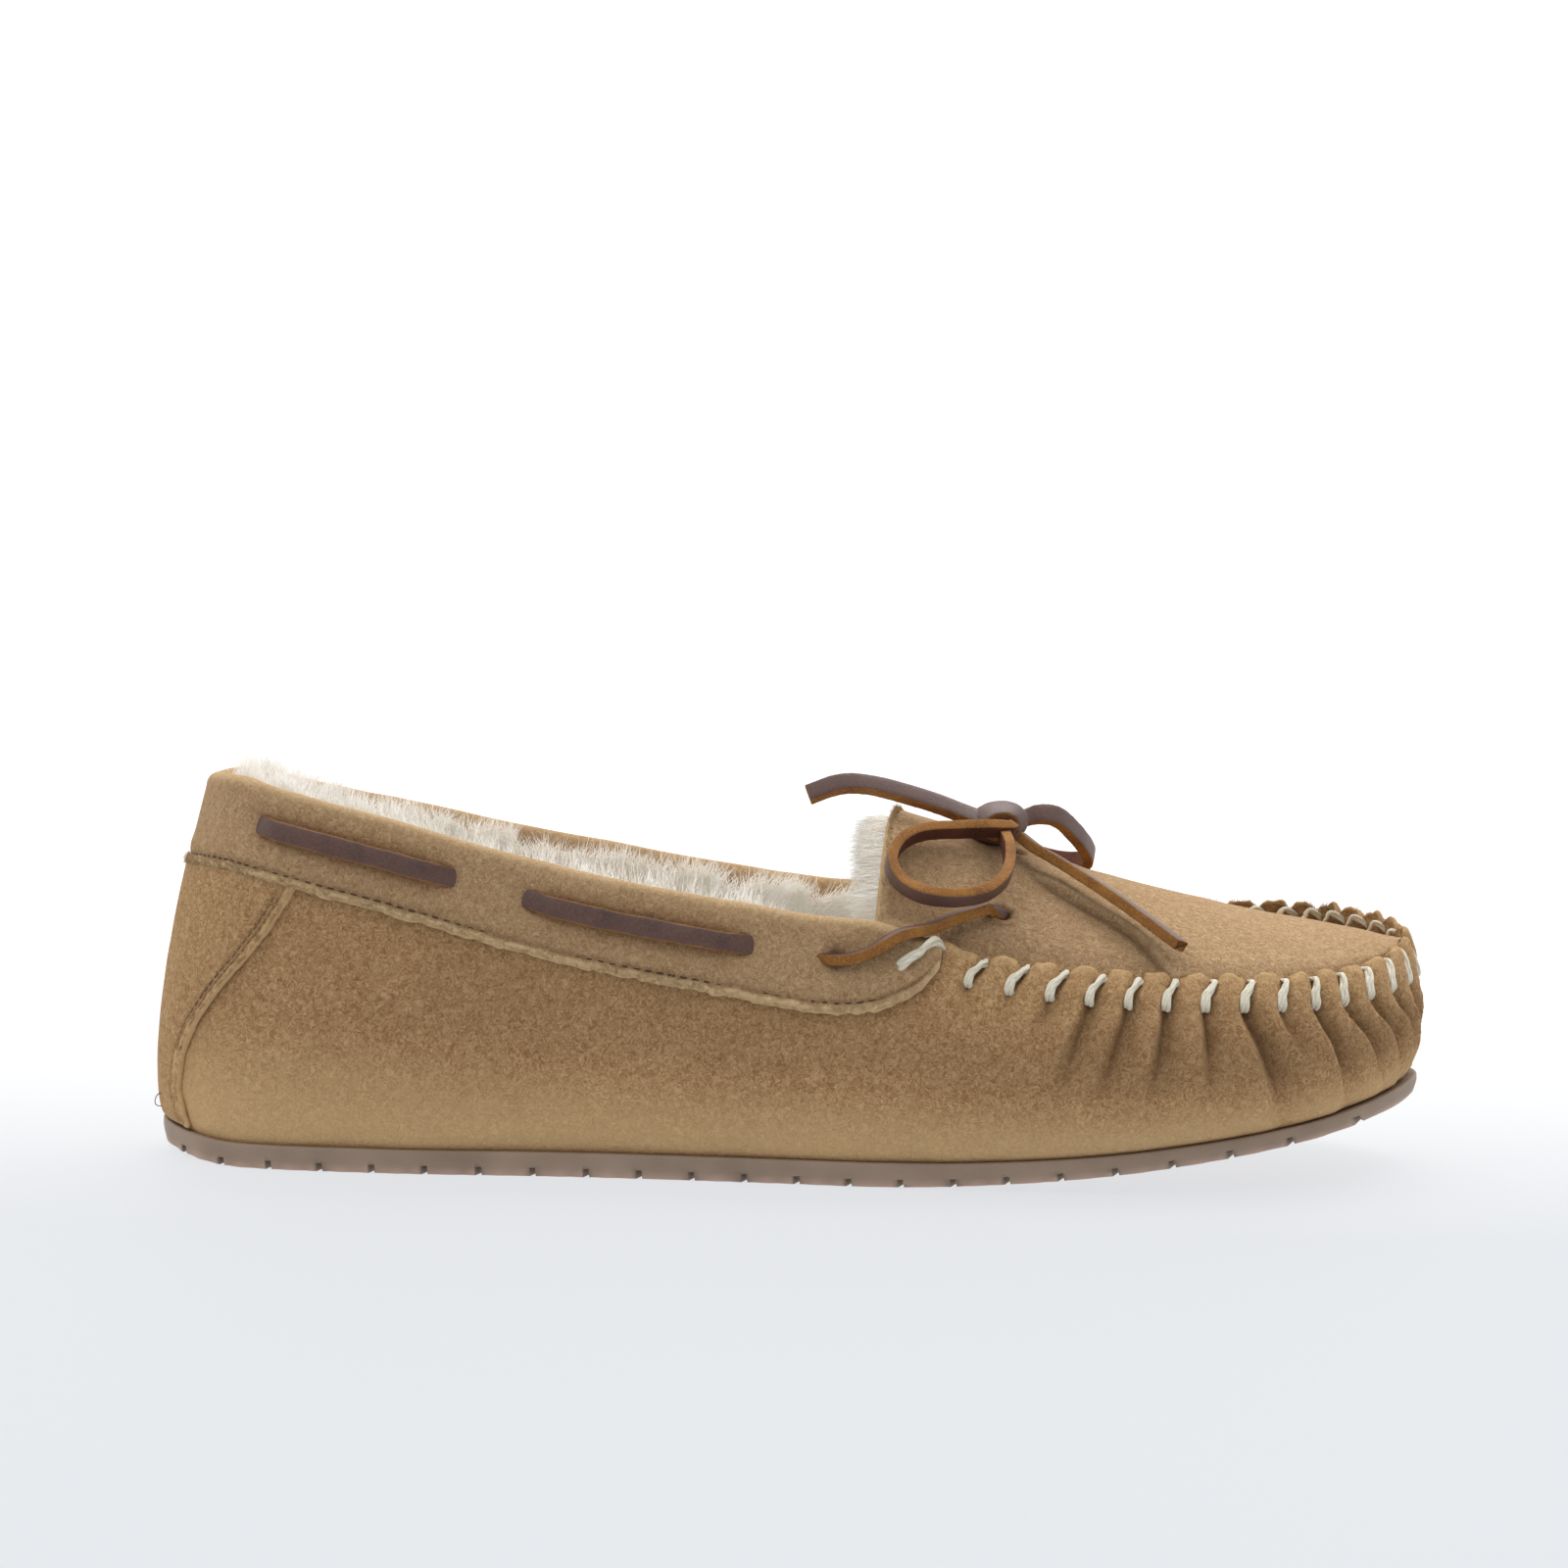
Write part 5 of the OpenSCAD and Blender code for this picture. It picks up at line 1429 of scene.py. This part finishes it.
def make_linings():
    """Fur cloth: a thin backing for each piece, with its fur standing on it."""
    rows = np.linspace(1, 0, 40)
    s = np.linspace(-LINING_END, LINING_END, 260)[:, None]
    high = 6.4 - 2.0 * heel_share(s)
    drop = high + (wall_height(s) - LINING_FOOT - high) * rows
    outer, inner = (at_drop(s, drop, lining_depth(drop) + d) for d in (0.1, 0.95))
    back = panel("quarter_lining_cloth", outer, inner, 0 * drop, FUR_BASE, ["quarter_lining"])
    furs = [quarter_fur("quarter_fur_outer", MANY, 1.2, LINING_END, 101, power=1.3, reach=24),
            quarter_fur("quarter_fur_inner", MANY, -LINING_END, -1.2, 103, power=1.3, reach=24),
            quarter_fur("quarter_fur_inner_top", MANY, -LINING_END, -1.2, 104, power=1.5, reach=18),
            quarter_fur("quarter_fur_heel", MANY, -1.9, 1.9, 105, power=1.2, reach=26),
            quarter_fur("quarter_fur_low", MANY, -LINING_END, LINING_END, 107, power=0.8)]

    s = np.linspace(LINING_END + 0.14, FULL - LINING_END - 0.14, 200)[:, None]
    drop = 6 + (wall_height(s) - LINING_FOOT - 6) * rows
    outer, inner = (at_drop(s, drop, FORE_D + d) for d in (3.4, 4.2))
    fore = panel("forefoot_lining_cloth", outer, inner, 0 * drop, FUR_BASE, ["forefoot_lining"])
    rng, count = np.random.default_rng(111), 6000
    s = rng.uniform(LINING_END + 0.2, FULL - LINING_END - 0.2, count)
    drop = 7 + (wall_height(s) - 19) * rng.uniform(0, 1, count)
    fur = tufted("forefoot_fur", at_drop(s, drop, FORE_D + 4.1), -outward(s) * 0.8, np.array([0, 0, 0.1]),
                 5.5, 0.12, 113)

    u = np.linspace(TONGUE_U + 0.02, 0.68, 90)
    v = np.linspace(-0.8, 0.8, 80)[:, None]
    deep = 2.1 + 2.7 * ease(u, -0.04, 0.05) + 0 * v
    tongue = panel("plug_lining_cloth", plug_pt(u, v, deep), plug_pt(u, v, deep + 0.8), 0 * deep, FUR_BASE,
                   ["plug_lining"])
    furs = [tongue_fur("tongue_fur", MANY, 117, True), tongue_fur("tongue_fur_side", 6000, 118, True, 0.5),
            tongue_fur("plug_fur", 7000, 119, False)]

    cover = bed_layer("footbed_pile_cloth", (PILE_Z, PILE_Z + 0.8), INSIDE_D, FUR_BASE,
                      ["footbed_pile"], dome=0.2, rounding=0.1)
    furs = [bed_fur("footbed_fur_rear", 8800, 0.5, 3.9, 121),
            bed_fur("footbed_fur_front", 7500, 3.9, 7.6, 123)]


def tongue_fur(name, count, seed, edge, v_high=0.9):
    """Fur under the plug. At the tongue's rear edge it stands out backwards."""
    rng = np.random.default_rng(seed)
    u = TONGUE_U + 0.004 + (0.08 if edge else 0.7) * rng.uniform(0, 1, count) ** (1.3 if edge else 1)
    v = rng.uniform(-0.9, v_high, count)
    deep = 1.9 + 3.8 * ease(u, -0.06, 0.05) + (1.6 * rng.uniform(0, 1, count) if edge else 0)
    back = 1.4 * (1 - ease(u, TONGUE_U, TONGUE_U + 0.1)) + (0.2 if edge else 0)
    return tufted(name, plug_pt(u, v, deep), -plug_normal(u, v) * 0.55,
                  back[:, None] * np.array([-1, 0, 0.1]), 8.0 if edge else 6.0, 0.14, seed, 0.5)


def bed_fur(name, count, s0, s1, seed):
    """Upright fur of the footbed's cover between two stations."""
    rng = np.random.default_rng(seed)
    s = s0 + (s1 - s0) * rng.uniform(0, 1, count)
    roots = bed_point(s, rng.uniform(-0.97, 0.97, count), PILE_Z + 0.8, INSIDE_D)
    return tufted(name, roots, np.tile([0.0, 0.0, 0.8], (count, 1)), 0, 6.0, 0.13, seed, 0.6)


def make_footbed():
    board = bed_layer("board_fibre", BOARD_Z, 2.4, BOARD, ["lasting_board"], rounding=0.2)
    foam = bed_layer("foam_footbed_pad", FOAM_Z, INSIDE_D, FOAM, ["foam_footbed"], rounding=0.8)
    return board


def fuzz(name, rng, roots, away, length, seed, mat, painted_light_and_raw_edge=0.8):
    """Short loose fibres that stand every way about a direction."""
    n = len(roots)
    first = unit(away + 0.75 * rng.normal(size=(n, 3)))
    bends = 0.7 * rng.normal(size=(n, 3))
    verts, quads, tris = strands(roots, first, bends, length * rng.uniform(0.4, 1.2, n), 0.065, 3, seed)
    make_piece(name, verts, [quads, tris], [mat], attrs={"painted_light_and_raw_edge": np.full(len(verts), painted_light_and_raw_edge)})


def make_fuzz():
    """Loose suede fibres along the raw edges of the collar, the heel patch, the rim and the tongue."""
    rng, count, few = np.random.default_rng(201), 7000, 3600
    s = rng.uniform(-COLLAR_END + 0.05, COLLAR_END - 0.05, count)
    above = rng.uniform(-0.1, 1.5, count)
    fuzz("collar_edge_fuzz", rng, at_drop(s, np.maximum(curl(s), ROLL_R + 0.4) - above, OVER_D - 0.25),
         outward(s, -0.35 - 0.5 * (above < 0.3)), 0.75, 203, SUEDE_COLLAR)
    j = rng.uniform(0, 1, few)
    side = np.where(rng.uniform(0, 1, few) < 0.5, -1, 1)
    edge = rng.uniform(0, 1.0, few)
    base, s = patch_point(side * (1 - edge / speed(patch_at(j)) / patch_at(j)), j, OVER_D - 0.1)
    fuzz("heel_patch_edge_fuzz", rng, base, outward(s), 0.6, 205, SUEDE)
    s = rng.uniform(4.86, FULL - 4.86, count)
    place = (s - WHIP_S[0]) / WHIP_STEP
    lobe = lobe_of(place - np.round(place))
    stitched = (s > WHIP_S[0] - WHIP_STEP / 2) & (s < WHIP_S[-1] + WHIP_STEP / 2)
    roots = at_drop(s, 0.0, rng.uniform(0.1, 1.3, count))
    roots[:, 2] += np.where(stitched, 1.7 * lobe - 0.8 * (1 - lobe) ** 2 + rim_lift(s), 0) - 0.15
    fuzz("rim_fuzz", rng, roots, outward(s, 2.5) * 0.4, 0.8, 207, SUEDE, 0.5)
    v = rng.uniform(-1, 1, few)
    u = TONGUE_U + rng.uniform(-0.001, 0.008, few)
    fuzz("tongue_edge_fuzz", rng, plug_pt(u, v, rng.uniform(-0.1, 1.3, few)), np.array([-0.9, 0.0, 0.3]), 0.8,
         209, SUEDE_PLUG)


for make in (make_vamp, make_collar, make_heel_patch, make_plug, make_lace_run, make_bow, make_knot,
             make_whipstitches, make_collar_thread, make_patch_thread, make_outsole, make_footbed,
             make_counter, make_linings, make_fuzz):
    make()
